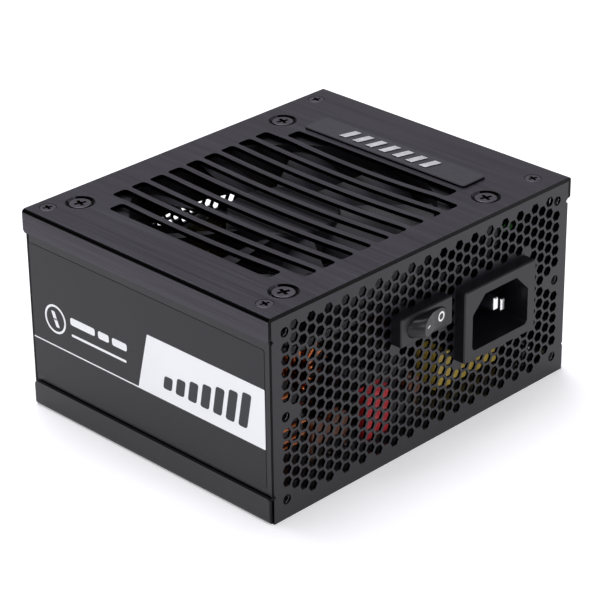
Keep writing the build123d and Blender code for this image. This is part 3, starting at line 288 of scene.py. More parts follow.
@dataclass(frozen=True)
class PowderCoat:
    """Fine-grained powder coat on sheet steel, with painted shade in the grooves under the lips and at the
    corner gaps.
    """

    name: str
    color: Color = (0.0098, 0.0092, 0.0128)
    roughness: float = 0.38
    grain_mm: float = 0.32
    # Heights of the painted shade bands under the cover's lip and above the tray's lip, x of the side walls,
    # and y beyond which the corner edges are shaded.
    shade_band_low: float = 0.0085
    shade_band_high: float = 0.0557
    wall: float = 0.0610
    front: float = 0.0491

    def build(self) -> bpy.types.Material:
        """Make the material."""
        graph = Graph(self.name)
        grain = graph.noise(1.0 / (self.grain_mm * MM), 2.0)
        cloud = graph.noise(38.0, 3.0)
        speck = graph.levels(graph.noise(2400.0, 1.0), 0.62, 0.75)
        tone = graph.mix(cloud, scaled(self.color, 0.84), scaled(self.color, 1.18))
        tone = graph.mix(speck * 0.3, tone, scaled(self.color, 1.9))
        sideways = abs(graph.normal_part(0))
        # Painted shade: near-black, fully metallic bands on the side walls just under the cover's lip and
        # just above the tray's lip, and on the sideways faces at the front and back corners, where the gaps
        # between sheets lie in shade.
        on_wall = (abs(graph.x) > self.wall) * (abs(graph.x) < self.wall + 0.0006)
        low_shade_band = (graph.z < self.shade_band_low) * (graph.z > self.shade_band_low - 0.0007)
        high_shade_band = (graph.z > self.shade_band_high) * (graph.z < self.shade_band_high + 0.0007)
        lip_shade = on_wall * (sideways > 0.9) * (low_shade_band + high_shade_band)
        corner_gap_shade = (sideways > 0.8) * (abs(graph.y) > self.front)
        painted_shade = lip_shade.most(corner_gap_shade)
        graph.bump(grain, 0.00004, 0.5)
        return graph.shade(
            Base_Color=graph.mix(painted_shade, tone, PAINTED_SHADE_COLOR),
            Metallic=painted_shade,
            Roughness=self.roughness + (cloud - 0.5) * 0.16 + (grain - 0.5) * 0.1,
            Specular_IOR_Level=0.36,
        )


@dataclass(frozen=True)
class BrushedPlate:
    """Anodised aluminium with long brush lines along Y, with painted shade on its slot walls and end faces
    and a painted dark reflection on its bends.
    """

    name: str
    color: Color = (0.036, 0.033, 0.042)
    line_mm: float = 0.42
    side: float = 0.0612

    def build(self) -> bpy.types.Material:
        """Make the material."""
        graph = Graph(self.name)
        per_metre = 1.0 / (self.line_mm * MM)
        fine = graph.noise(1.0, 3.0, graph.stretched(per_metre, 22.0, per_metre))
        broad = graph.noise(1.0, 2.0, graph.stretched(per_metre * 0.22, 9.0, per_metre * 0.22))
        cloud = graph.noise(24.0, 2.0)
        streak = fine * 0.65 + broad * 0.35
        tone = graph.mix(graph.levels(streak, 0.34, 0.68), scaled(self.color, 0.55), scaled(self.color, 1.5))
        tone = graph.mix(cloud * 0.35, tone, scaled(self.color, 0.6))
        upward = abs(graph.normal_part(2))
        sideways = abs(graph.normal_part(0))
        # Painted shade on the slot walls and end faces and a painted dark reflection on the rounded bends:
        # these turn near-black and fully metallic under any light.
        slot_wall_shade = (upward < 0.6) * (abs(graph.x) < self.side)
        end_wall_shade = (upward < 0.6) * (sideways < 0.5)
        bend_dark_reflection = (upward > 0.2) * (sideways > 0.28)
        painted_shade = slot_wall_shade.most(end_wall_shade).most(bend_dark_reflection)
        graph.bump(streak, 0.00005, 0.7)
        return graph.shade(
            Base_Color=graph.mix(painted_shade, tone, PAINTED_SHADE_COLOR),
            Metallic=painted_shade.most(0.5),
            Roughness=0.34 + (streak - 0.5) * 0.4,
            Specular_IOR_Level=0.4,
        )


@dataclass(frozen=True)
class EdgedMetal:
    """Plated or painted piece with painted shade on its upright faces and on everything below a given
    height.
    """

    name: str
    color: Color
    roughness: float = 0.35
    metallic: float = 0.6
    shade_below: float = 0.0

    def build(self) -> bpy.types.Material:
        """Make the material."""
        graph = Graph(self.name)
        grain = graph.noise(3200.0, 2.0)
        patch = graph.noise(420.0, 3.0)
        tone = graph.mix(patch, scaled(self.color, 0.78), scaled(self.color, 1.22))
        # Painted shade: faces that don't face up, and all below the shade height (a screw head sunk into the
        # plate), turn near-black and metallic.
        painted_shade = (graph.normal_part(2) < 0.55).most(graph.z < self.shade_below)
        graph.bump(grain, 0.00001, 0.5)
        return graph.shade(
            Base_Color=graph.mix(painted_shade, tone, PAINTED_SHADE_COLOR),
            Metallic=painted_shade.most(self.metallic),
            Roughness=self.roughness + (patch - 0.5) * 0.2,
        )


@dataclass(frozen=True)
class RibbedPlastic:
    """Fan plastic with fine ribs round the fan's axis."""

    name: str
    color: Color = (0.013, 0.0125, 0.016)
    axis_x: float = -0.0067
    rib_mm: float = 1.5

    def build(self) -> bpy.types.Material:
        """Make the material."""
        graph = Graph(self.name)
        away = graph.x - self.axis_x
        radius = graph.node("ShaderNodeMath", {"operation": "SQRT"}, {0: away * away + graph.y * graph.y})
        turns = radius * (math.tau / (self.rib_mm * MM))
        rib = graph.node("ShaderNodeMath", {"operation": "SINE"}, {0: turns}) * 0.5 + 0.5
        cloud = graph.noise(120.0, 2.0)
        tone = graph.mix(rib * 0.5 + cloud * 0.5, scaled(self.color, 0.85), scaled(self.color, 1.15))
        graph.bump(rib, 0.00003, 0.4)
        return graph.shade(Base_Color=tone, Roughness=0.5 + (cloud - 0.5) * 0.15, Specular_IOR_Level=0.2)


@dataclass(frozen=True)
class MouldedPlastic:
    """Spark-eroded moulded plastic."""

    name: str
    color: Color
    roughness: float = 0.45
    grain_mm: float = 0.25
    depth: float = 0.00003
    coat: float = 0.0
    level: float = 0.5

    def build(self) -> bpy.types.Material:
        """Make the material."""
        graph = Graph(self.name)
        grain = graph.noise(1.0 / (self.grain_mm * MM), 2.0)
        cloud = graph.noise(90.0, 2.0)
        tone = graph.mix(cloud, scaled(self.color, 0.88), scaled(self.color, 1.12))
        graph.bump(grain, self.depth, 0.5)
        return graph.shade(
            Base_Color=tone,
            Roughness=self.roughness + (cloud - 0.5) * 0.14,
            Coat_Weight=self.coat,
            Coat_Roughness=0.15,
            Specular_IOR_Level=self.level,
        )


@dataclass(frozen=True)
class BareMetal:
    """Plated or drawn metal with fine scratches and dull patches."""

    name: str
    color: Color
    roughness: float = 0.3
    scratch_mm: float = 0.12
    metallic: float = 1.0

    def build(self) -> bpy.types.Material:
        """Make the material."""
        graph = Graph(self.name)
        per_metre = 1.0 / (self.scratch_mm * MM)
        scratch = graph.noise(1.0, 2.0, graph.stretched(per_metre, per_metre, per_metre * 0.08))
        patch = graph.noise(260.0, 3.0)
        tone = graph.mix(patch, scaled(self.color, 0.8), scaled(self.color, 1.12))
        graph.bump(scratch, 0.00001, 0.4)
        return graph.shade(
            Base_Color=tone,
            Metallic=self.metallic,
            Roughness=self.roughness + (patch - 0.5) * 0.22 + (scratch - 0.5) * 0.12,
        )


@dataclass(frozen=True)
class PrintedFilm:
    """Satin sticker film with a faint orange-peel surface."""

    name: str
    color: Color
    roughness: float = 0.38

    def build(self) -> bpy.types.Material:
        """Make the material."""
        graph = Graph(self.name)
        peel = graph.noise(900.0, 1.0)
        cloud = graph.noise(25.0, 2.0)
        tone = graph.mix(cloud, scaled(self.color, 0.93), scaled(self.color, 1.06))
        graph.bump(peel, 0.00001, 0.35)
        return graph.shade(
            Base_Color=tone,
            Roughness=self.roughness + (peel - 0.5) * 0.1 + (cloud - 0.5) * 0.1,
            Specular_IOR_Level=0.3,
        )


@dataclass(frozen=True)
class CircuitBoard:
    """Dark solder mask with faint tracks and bright pads."""

    name: str
    color: Color = (0.008, 0.0095, 0.009)
    track_mm: float = 1.6

    def build(self) -> bpy.types.Material:
        """Make the material."""
        graph = Graph(self.name)
        wander = graph.noise(220.0, 1.0)
        grid = 1.0 / (self.track_mm * MM)
        bands = graph.node(
            "ShaderNodeTexWave",
            {"wave_type": "BANDS", "bands_direction": "DIAGONAL"},
            {"Vector": graph.place, "Scale": grid * 0.3, "Distortion": 3.0},
            output=1,
        )
        track = graph.levels(bands + wander * 0.4, 0.75, 0.85)
        pads = graph.node("ShaderNodeTexVoronoi", {}, {"Vector": graph.place, "Scale": 420.0}, output=0)
        pad = graph.levels(pads, 0.2, 0.14)
        tone = graph.mix(track * 0.6, self.color, scaled(self.color, 2.1))
        tone = graph.mix(pad * 0.7, tone, (0.5, 0.5, 0.48))
        return graph.shade(
            Base_Color=tone,
            Roughness=0.4 + wander * 0.12,
            Metallic=pad * 0.6,
            Coat_Weight=0.25,
        )


@dataclass(frozen=True)
class PaleFloor:
    """Plain pale studio floor that glows with painted light, weaker near the object."""

    name: str
    color: Color = (0.93, 0.93, 0.93)
    glow: float = 0.75
    near_glow_share: float = 0.42
    fade_start: float = 0.4
    fade_end: float = 2.2

    def build(self) -> bpy.types.Material:
        """Make the material."""
        graph = Graph(self.name)
        # Painted light: the floor glows at a share of its full strength near the object, rising from 0.4 m
        # out to full at 2.2 m, so it reads white far off and its contact shadow is partly filled in.
        away = graph.node("ShaderNodeVectorMath", {"operation": "LENGTH"}, {0: graph.place}, output=1)
        glow_fade = graph.levels(away, self.fade_start, self.fade_end)
        glow = graph.mix(glow_fade, scaled(self.color, self.near_glow_share), self.color)
        return graph.shade(
            Base_Color=self.color,
            Roughness=0.9,
            Emission_Color=glow,
            Emission_Strength=self.glow,
        )


class Palette(Enum):
    """Every finish of the unit."""

    STEEL = PowderCoat("black_powder_coat")
    TOP = BrushedPlate("brushed_black_aluminium")
    # Screws are painted in shade below 63.1 mm, where they sit sunk in the plate.
    SCREW = EdgedMetal("black_zinc", (0.075, 0.070, 0.082), 0.32, 0.7, 0.0631)
    ZINC = BareMetal("bright_zinc", (0.66, 0.67, 0.69), 0.26)
    STRIP = EdgedMetal("strip_grey", (0.034, 0.033, 0.040), 0.36, 0.3)
    SILVER = EdgedMetal("satin_silver", (0.80, 0.80, 0.82), 0.3, 0.75)
    FILM = PrintedFilm("dark_film", (0.0080, 0.0078, 0.0112))
    WHITE_INK = PrintedFilm("white_ink", (0.86, 0.87, 0.88), 0.42)
    DARK_INK = PrintedFilm("dark_ink", (0.022, 0.023, 0.028), 0.4)
    FAN = MouldedPlastic("fan_black", (0.010, 0.010, 0.012), 0.36)
    BLADES = RibbedPlastic("ribbed_fan_black")
    BRONZE = BareMetal("sintered_bronze", (0.50, 0.34, 0.17), 0.45)
    LAMINATION = BareMetal("laminated_steel", (0.30, 0.30, 0.32), 0.42)
    COPPER = BareMetal("enamelled_copper", (0.80, 0.25, 0.09), 0.24)
    FERRITE = MouldedPlastic("ferrite", (0.040, 0.040, 0.043), 0.55)
    SOCKET = MouldedPlastic("socket_black", (0.020, 0.020, 0.022), 0.36)
    SWITCH = MouldedPlastic("switch_black", (0.0072, 0.0068, 0.0092), 0.34, level=0.33)
    MARK = MouldedPlastic("mark_white", (0.90, 0.90, 0.90), 0.4)
    TIN = BareMetal("tinned_brass", (0.80, 0.80, 0.82), 0.2)
    SHEET = MouldedPlastic("insulating_film", (0.055, 0.055, 0.050), 0.3)
    BOARD = CircuitBoard("solder_mask")
    YELLOW = MouldedPlastic("film_capacitor_yellow", (0.83, 0.60, 0.10), 0.4, coat=0.2)
    TAPE = MouldedPlastic("winding_tape_yellow", (0.78, 0.55, 0.10), 0.32, coat=0.3)
    RED = MouldedPlastic("film_capacitor_red", (0.72, 0.035, 0.05), 0.36, coat=0.2)
    CERAMIC = MouldedPlastic("dipped_ceramic", (0.16, 0.045, 0.015), 0.3, coat=0.4)
    EPOXY = MouldedPlastic("moulded_epoxy", (0.022, 0.022, 0.022), 0.5)
    SLEEVE = MouldedPlastic("can_sleeve", (0.020, 0.020, 0.034), 0.28, coat=0.4)
    CAN = BareMetal("bare_can", (0.72, 0.72, 0.74), 0.3)
    HEATSINK = BareMetal("mill_finish", (0.52, 0.52, 0.54), 0.38)
    BROWN = MouldedPlastic("wire_brown", (0.18, 0.07, 0.03), 0.4)
    SKY = MouldedPlastic("wire_blue", (0.03, 0.12, 0.42), 0.4)
    GREEN = MouldedPlastic("wire_green", (0.08, 0.34, 0.08), 0.4)


class Finisher:
    """Builds each finish once and lays it on pieces."""

    def __init__(self) -> None:
        """Start with no finish built."""
        self.made: dict[Palette, bpy.types.Material] = {}

    def lay(self, piece: bpy.types.Object, finish: Palette) -> None:
        """Give a piece one finish all over.

        Args:
            piece: Object to dress.
            finish: Finish to use.
        """
        if finish not in self.made:
            self.made[finish] = finish.value.build()
        piece.data.materials.clear()
        piece.data.materials.append(self.made[finish])


# ---------------------------------------------------------------- modelling


def deselect() -> None:
    """Leave edit mode and deselect every object."""
    if bpy.context.object and bpy.context.object.mode != "OBJECT":
        bpy.ops.object.mode_set(mode="OBJECT")
    bpy.ops.object.select_all(action="DESELECT")


def activate(piece: bpy.types.Object) -> None:
    """Make a piece the only selected and active object."""
    deselect()
    piece.select_set(True)
    bpy.context.view_layer.objects.active = piece


def settle(piece: bpy.types.Object, name: str) -> bpy.types.Object:
    """Name a piece and move its place into its mesh.

    Args:
        piece: New object.
        name: Its name.

    Returns:
        The same object, at the origin.
    """
    activate(piece)
    bpy.ops.object.transform_apply(location=True, rotation=True, scale=True)
    piece.name = name
    piece.data.name = name
    return piece


def smooth(piece: bpy.types.Object, degrees: float = 35.0) -> None:
    """Shade a piece smooth, with edges over an angle kept sharp."""
    activate(piece)
    bpy.ops.object.shade_smooth_by_angle(angle=math.radians(degrees))


def apply_modifier(piece: bpy.types.Object, kind: str, **settings: object) -> None:
    """Add one modifier and apply it.

    Args:
        piece: Object to change.
        kind: Modifier type.
        **settings: Modifier properties.
    """
    activate(piece)
    modifier = piece.modifiers.new(kind.lower(), kind)
    for key, value in settings.items():
        setattr(modifier, key, value)
    bpy.ops.object.modifier_apply(modifier=modifier.name)


def round_edges(piece: bpy.types.Object, width: float, segments: int = 2, degrees: float = 40.0) -> None:
    """Round every edge of a piece that is sharper than an angle.

    Args:
        piece: Object to change.
        width: Bevel width in metres.
        segments: Faces across the round.
        degrees: Smallest angle that counts as an edge.
    """
    smooth(piece)
    apply_modifier(
        piece,
        "BEVEL",
        width=width,
        segments=segments,
        limit_method="ANGLE",
        angle_limit=math.radians(degrees),
        use_clamp_overlap=True,
        loop_slide=False,
        harden_normals=True,
    )


def select_edges(piece: bpy.types.Object, wanted: Callable[[Vector, Vector], bool]) -> None:
    """Select edges in edit mode by a test on their two ends.

    Args:
        piece: Active object in edit mode.
        wanted: Test of an edge's ends.
    """
    bpy.ops.mesh.select_mode(type="EDGE")
    bpy.ops.mesh.select_all(action="DESELECT")
    bpy.ops.object.mode_set(mode="OBJECT")
    points = piece.data.vertices
    for edge in piece.data.edges:
        edge.select = wanted(points[edge.vertices[0]].co, points[edge.vertices[1]].co)
    bpy.ops.object.mode_set(mode="EDIT")


def slab(name: str, low: Iterable[float], high: Iterable[float]) -> bpy.types.Object:
    """A box between two corners, its place in its mesh.

    Args:
        name: Name of the piece.
        low: Lowest corner in metres.
        high: Highest corner in metres.

    Returns:
        The new object.
    """
    low_corner, high_corner = Vector(low), Vector(high)
    deselect()
    bpy.ops.mesh.primitive_cube_add(size=1.0, location=(low_corner + high_corner) / 2)
    piece = bpy.context.object
    piece.scale = high_corner - low_corner
    return settle(piece, name)


def round_sticker(piece: bpy.types.Object, radius: float, axis: int = 0, segments: int = 5) -> None:
    """Round the edges of a slab that run along one axis.

    Args:
        piece: Slab to change.
        radius: Corner radius in metres.
        axis: Axis that the edges run along.
        segments: Faces round each corner.
    """
    activate(piece)
    bpy.ops.object.mode_set(mode="EDIT")
    others = [index for index in range(3) if index != axis]
    select_edges(piece, lambda a, b: all(abs(a[index] - b[index]) < 1e-6 for index in others))
    bpy.ops.mesh.bevel(offset=radius, segments=segments, affect="EDGES", clamp_overlap=True)
    bpy.ops.object.mode_set(mode="OBJECT")


def slant(piece: bpy.types.Object, axis: int, amount: float, along: int, centre: float) -> None:
    """Lean a slab by moving its two halves apart.

    Args:
        piece: Slab to change.
        axis: Axis of the movement.
        amount: Movement of the upper half; the lower half moves the other way.
        along: Axis that tells the upper half from the lower.
        centre: Where the halves meet.
    """
    activate(piece)
    for sign in (-1.0, 1.0):
        bpy.ops.object.mode_set(mode="EDIT")
        bpy.ops.mesh.select_mode(type="VERT")
        bpy.ops.mesh.select_all(action="DESELECT")
        bpy.ops.object.mode_set(mode="OBJECT")
        for point in piece.data.vertices:
            point.select = (point.co[along] - centre) * sign > 0
        bpy.ops.object.mode_set(mode="EDIT")
        offset = [0.0, 0.0, 0.0]
        offset[axis] = amount * sign
        bpy.ops.transform.translate(value=offset)
        bpy.ops.object.mode_set(mode="OBJECT")


def ring_band(
    name: str, centre: Vector, outer: float, inner: float, height: float, turn: Matrix, sides: int = 64
) -> bpy.types.Object:
    """A flat ring, made by insetting and deleting the middle of a disc and giving it height.

    Args:
        name: Name of the piece.
        centre: Centre of its lower face.
        outer: Outer radius.
        inner: Inner radius.
        height: Height along the ring's axis.
        turn: Rotation from +Z to the ring's axis.
        sides: Straight sides round the ring.

    Returns:
        The new object.
    """
    deselect()
    bpy.ops.mesh.primitive_circle_add(vertices=sides, radius=outer, fill_type="NGON")
    piece = bpy.context.object
    bpy.ops.object.mode_set(mode="EDIT")
    bpy.ops.mesh.select_all(action="SELECT")
    bpy.ops.mesh.inset(thickness=outer - inner)
    bpy.ops.mesh.delete(type="FACE")
    bpy.ops.mesh.select_all(action="SELECT")
    bpy.ops.mesh.extrude_region_move(TRANSFORM_OT_translate={"value": (0, 0, height)})
    bpy.ops.mesh.select_all(action="SELECT")
    bpy.ops.mesh.normals_make_consistent(inside=False)
    bpy.ops.object.mode_set(mode="OBJECT")
    piece.matrix_world = Matrix.Translation(centre) @ turn
    return settle(piece, name)


def refined(node: str, width: float, segments: int = 2, degrees: float = 40.0) -> bpy.types.Object:
    """A copy of a CAD node with its triangles merged and its edges rounded, which then stands for the node.

    Args:
        node: Name of the CAD node.
        width: Edge round in metres; 0 leaves the edges sharp.
        segments: Faces across the round.
        degrees: Smallest angle that counts as an edge.

    Returns:
        The new object.
    """
    source = frame["nodes"][node]
    activate(source)
    bpy.ops.object.duplicate()
    piece = bpy.context.object
    piece.parent = None
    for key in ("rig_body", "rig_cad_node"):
        if key in piece:
            del piece[key]
    piece.name = f"{node}_skin"
    piece.data.name = piece.name
    bpy.ops.object.mode_set(mode="EDIT")
    bpy.ops.mesh.select_all(action="SELECT")
    bpy.ops.mesh.remove_doubles(threshold=WELD)
    bpy.ops.object.mode_set(mode="OBJECT")
    if piece.data.has_custom_normals:
        bpy.ops.mesh.customdata_custom_splitnormals_clear()
    if width > 0:
        round_edges(piece, width, segments, degrees)
    else:
        smooth(piece)
    return piece


@dataclass
class SubAssembly:
    """Something that builds pieces, dresses them and hangs them on a body."""

    finisher: Finisher

    def keep(
        self, piece: bpy.types.Object, finish: Palette, body: str, slot: str, *nodes: str
    ) -> bpy.types.Object:
        """Dress a finished piece and tie it to the frame.

        Args:
            piece: Finished object.
            finish: Its finish.
            body: Body that it rides on.
            slot: Not used.
            *nodes: CAD nodes that it stands for.

        Returns:
            The same object.
        """
        self.finisher.lay(piece, finish)
        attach(piece, body)
        if nodes:
            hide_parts(*nodes)
        log.info("%s: %d faces", piece.name, len(piece.data.polygons))
        return piece

    def skin(
        self, node: str, finish: Palette, slot: str, width_mm: float, body: str = CASE_BODY
    ) -> bpy.types.Object:
        """Replace a CAD node with its refined copy.

        Args:
            node: CAD node.
            finish: Finish of the copy.
            slot: Not used.
            width_mm: Edge round in millimetres.
            body: Body that it rides on.

        Returns:
            The refined copy.
        """
        return self.keep(refined(node, width_mm * MM), finish, body, slot, node)

    def paint(self, finish: Palette, *nodes: str) -> None:
        """Give CAD nodes that keep their shape a finish."""
        for node in nodes:
            self.finisher.lay(frame["nodes"][node], finish)


@dataclass
class CaseShell(SubAssembly):
    """Tray, panels, cover, top plate and their fasteners."""

    sheet_round: float = 0.12
    plate_round: float = 0.18
    fitting_round: float = 0.1
    bar_round: float = 0.08

    def build(self) -> None:
        """Build and dress the shell."""
        for node in ("tray", "cover"):
            self.skin(node, Palette.STEEL, "steel_black", self.sheet_round)
        self.paint(Palette.STEEL, "io_panel", "output_panel")
        self.skin("top_plate", Palette.TOP, "brushed_black", self.plate_round)
        for node in ("fan_screws", "corner_screws"):
            self.skin(node, Palette.SCREW, "screw_black", self.fitting_round)
        self.skin("name_strip", Palette.STRIP, "strip_grey", self.fitting_round)
        self.skin("strip_bars", Palette.SILVER, "strip_silver", self.bar_round)
        self.skin("mount_bosses", Palette.ZINC, "zinc", self.fitting_round)
        self.paint(Palette.STEEL, "corner_brackets")


class Side(Enum):
    """The two labelled walls, by the sign of X."""

    LEFT = -1.0
    RIGHT = 1.0


@dataclass
class WallLabels(SubAssembly):
    """Stickers of both side walls, with plain graphic marks."""

    film_round: float = 0.04
    ink: float = 0.05 * MM
    band_low: float = 22.5 * MM
    band_high: float = 41.0 * MM
    band_near: float = -47.2 * MM
    band_far: float = 1.45 * MM
    band_lean: float = 2.25 * MM
    band_split: float = 31.0 * MM
    gauge_bars: int = 7
    gauge_pitch: float = 5.1 * MM
    gauge_width: float = 3.4 * MM
    band_round: float = 0.25 * MM
    bolt_round: float = 0.2 * MM
    rule_round: float = 0.1 * MM
    rule_half: float = 0.12 * MM
    gauge_foot: float = 26.4 * MM
    gauge_low: float = 30.5 * MM
    gauge_step: float = 1.15 * MM
    gauge_shift: float = 1.2 * MM
    gauge_lean: float = -0.09
    gauge_round: float = 0.8 * MM
    badge_y: float = 38.9 * MM
    badge_z: float = 31.6 * MM
    badge_outer: float = 4.6 * MM
    badge_inner: float = 3.9 * MM
    bolt_step_y: float = 0.45 * MM
    bolt_step_z: float = 1.1 * MM
    bolt_half_width: float = 0.75 * MM
    bolt_half_height: float = 1.3 * MM
    bolt_lean: float = 0.55 * MM
    rule_across: tuple[float, float] = (3.6 * MM, 49.0 * MM)
    rule_upward: tuple[float, float] = (22.5 * MM, 22.9 * MM)
    text_bars_mm: tuple[tuple[float, float], ...] = ((21.6, 32.2), (15.6, 20.2), (8.0, 14.2))
    text_upward: tuple[float, float] = (32.2 * MM, 34.6 * MM)
    text_round: float = 0.7 * MM
    tag_across: tuple[float, float] = (8.4 * MM, 31.9 * MM)
    tag_upward: tuple[float, float] = (28.5 * MM, 29.3 * MM)
    tag_round: float = 0.38 * MM
    table_inset: float = 4.0 * MM
    table_rows: int = 6
    table_columns: int = 4
    table_margin: float = 34.0 * MM
    block_gap: float = 6.0 * MM
    block_height: float = 9.0 * MM

    def patch(
        self, name: str, side: Side, y: tuple[float, float], z: tuple[float, float], layer: int = 1
    ) -> bpy.types.Object:
        """A thin printed patch on a wall sticker.

        Args:
            name: Name of the piece.
            side: Wall.
            y: Lowest and highest y.
            z: Lowest and highest z.
            layer: Layer above the sticker, from 1.

        Returns:
            The patch.
        """
        node = "side_label" if side is Side.LEFT else "rating_label"
        low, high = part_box(node)
        face = low.x if side is Side.LEFT else high.x
        near = face + side.value * self.ink * (layer - 1)
        far = face + side.value * self.ink * layer
        return slab(name, (min(near, far), y[0], z[0]), (max(near, far), y[1], z[1]))

    def build(self) -> None:
        """Build both stickers and their marks."""
        self.skin("side_label", Palette.FILM, "label_dark", self.film_round)
        self.skin("rating_label", Palette.FILM, "label_dark", self.film_round)
        self.band()
        self.gauge()
        self.badge()
        self.lines()
        self.rating_table()

    def printed(self, piece: bpy.types.Object, finish: Palette) -> None:
        """Dress one printed patch."""
        smooth(piece)
        self.keep(piece, finish, CASE_BODY, "label_dark")

    def band(self) -> None:
        """White slanted band at the near end of the left sticker."""
        ends = (self.band_near, self.band_far)
        band = self.patch("label_band", Side.LEFT, ends, (self.band_low, self.band_high))
        activate(band)
        middle = (self.band_near + self.band_far) / 2
        for half, sign in (("lower", 1.0), ("upper", -1.0)):
            bpy.ops.object.mode_set(mode="EDIT")
            bpy.ops.mesh.select_mode(type="VERT")
            bpy.ops.mesh.select_all(action="DESELECT")
            bpy.ops.object.mode_set(mode="OBJECT")
            for point in band.data.vertices:
                at_height = (point.co.z < self.band_split) == (half == "lower")
                point.select = at_height and point.co.y > middle
            bpy.ops.object.mode_set(mode="EDIT")
            bpy.ops.transform.translate(value=(0, sign * self.band_lean, 0))
            bpy.ops.object.mode_set(mode="OBJECT")
        round_sticker(band, self.band_round)
        self.printed(band, Palette.WHITE_INK)

    def gauge(self) -> None:
        """Row of leaning bars that grow in height, in place of lettering."""
        centre_y = (self.band_near - self.gauge_shift) / 2
        for index in range(self.gauge_bars):
            y = centre_y + (index - (self.gauge_bars - 1) / 2) * self.gauge_pitch
            top = self.gauge_low + self.gauge_step * (self.gauge_bars - 1 - index)
            half = self.gauge_width / 2
            name = f"label_gauge_{index + 1}"
            bar = self.patch(name, Side.LEFT, (y - half, y + half), (self.gauge_foot, top), 2)
            slant(bar, 1, self.gauge_lean * (top - self.gauge_foot), 2, (self.gauge_foot + top) / 2)
            round_sticker(bar, self.gauge_round)
            self.printed(bar, Palette.DARK_INK)

    def badge(self) -> None:
        """Plain ring with a bolt at the far end of the left sticker."""
        low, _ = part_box("side_label")
        turn = Matrix.Rotation(math.radians(-90), 4, "Y")
        centre = Vector((low.x, self.badge_y, self.badge_z))
        ring = ring_band("label_ring", centre, self.badge_outer, self.badge_inner, self.ink, turn)
        self.printed(ring, Palette.WHITE_INK)
        for index, sign in enumerate((1.0, -1.0)):
            y = self.badge_y + sign * self.bolt_step_y
            z = self.badge_z + sign * self.bolt_step_z
            across = (y - self.bolt_half_width, y + self.bolt_half_width)
            upward = (z - self.bolt_half_height, z + self.bolt_half_height)
            stroke = self.patch(f"label_bolt_{index + 1}", Side.LEFT, across, upward)
            slant(stroke, 1, self.bolt_lean, 2, z)
            round_sticker(stroke, self.bolt_round)
            self.printed(stroke, Palette.WHITE_INK)

    def lines(self) -> None:
        """Fine rule and blank text bars of the left sticker."""
        rule = self.patch("label_rule", Side.LEFT, self.rule_across, self.rule_upward)
        round_sticker(rule, self.rule_round)
        self.printed(rule, Palette.WHITE_INK)
        for index, (start, end) in enumerate(self.text_bars_mm):
            name = f"label_bar_{index + 1}"
            bar = self.patch(name, Side.LEFT, (start * MM, end * MM), self.text_upward)
            round_sticker(bar, self.text_round)
            self.printed(bar, Palette.WHITE_INK)
        tag = self.patch("label_tag", Side.LEFT, self.tag_across, self.tag_upward)
        round_sticker(tag, self.tag_round)
        self.printed(tag, Palette.WHITE_INK)

    def rating_table(self) -> None:
        """Blank ruled table of the right sticker."""
        low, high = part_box("rating_label")
        top, bottom = high.z - self.table_inset, low.z + self.table_inset
        start, end = low.y + self.table_inset, high.y - self.table_margin
        for row in range(self.table_rows + 1):
            z = bottom + (top - bottom) * row / self.table_rows
            upward = (z - self.rule_half, z + self.rule_half)
            rule = self.patch(f"rating_row_{row + 1}", Side.RIGHT, (start, end), upward)
            round_sticker(rule, self.rule_round)
            self.printed(rule, Palette.WHITE_INK)
        for column in range(self.table_columns + 1):
            y = start + (end - start) * column / self.table_columns
            across = (y - self.rule_half, y + self.rule_half)
            rule = self.patch(f"rating_column_{column + 1}", Side.RIGHT, across, (bottom, top), 2)
            round_sticker(rule, self.rule_round)
            self.printed(rule, Palette.WHITE_INK)
        across = (end + self.block_gap, high.y - self.table_inset)
        block = self.patch("rating_block", Side.RIGHT, across, (bottom, bottom + self.block_height))
        round_sticker(block, 1.0 * MM)
        self.printed(block, Palette.WHITE_INK)


@dataclass
class CoolingFan(SubAssembly):
    """Fan frame, rotor and motor."""

    frame_round: float = 0.25
    blade_round: float = 0.12

    def build(self) -> None:
        """Dress the fan."""
        self.skin("fan_frame", Palette.FAN, "fan_black", self.frame_round)
        self.skin("fan_rotor", Palette.BLADES, "fan_black", self.blade_round, ROTOR_BODY)
        self.paint(Palette.ZINC, "fan_shaft")
        self.paint(Palette.BRONZE, "fan_bearing")
        self.paint(Palette.LAMINATION, "fan_stator")
        self.paint(Palette.COPPER, "fan_windings")
        self.paint(Palette.FERRITE, "fan_magnet")


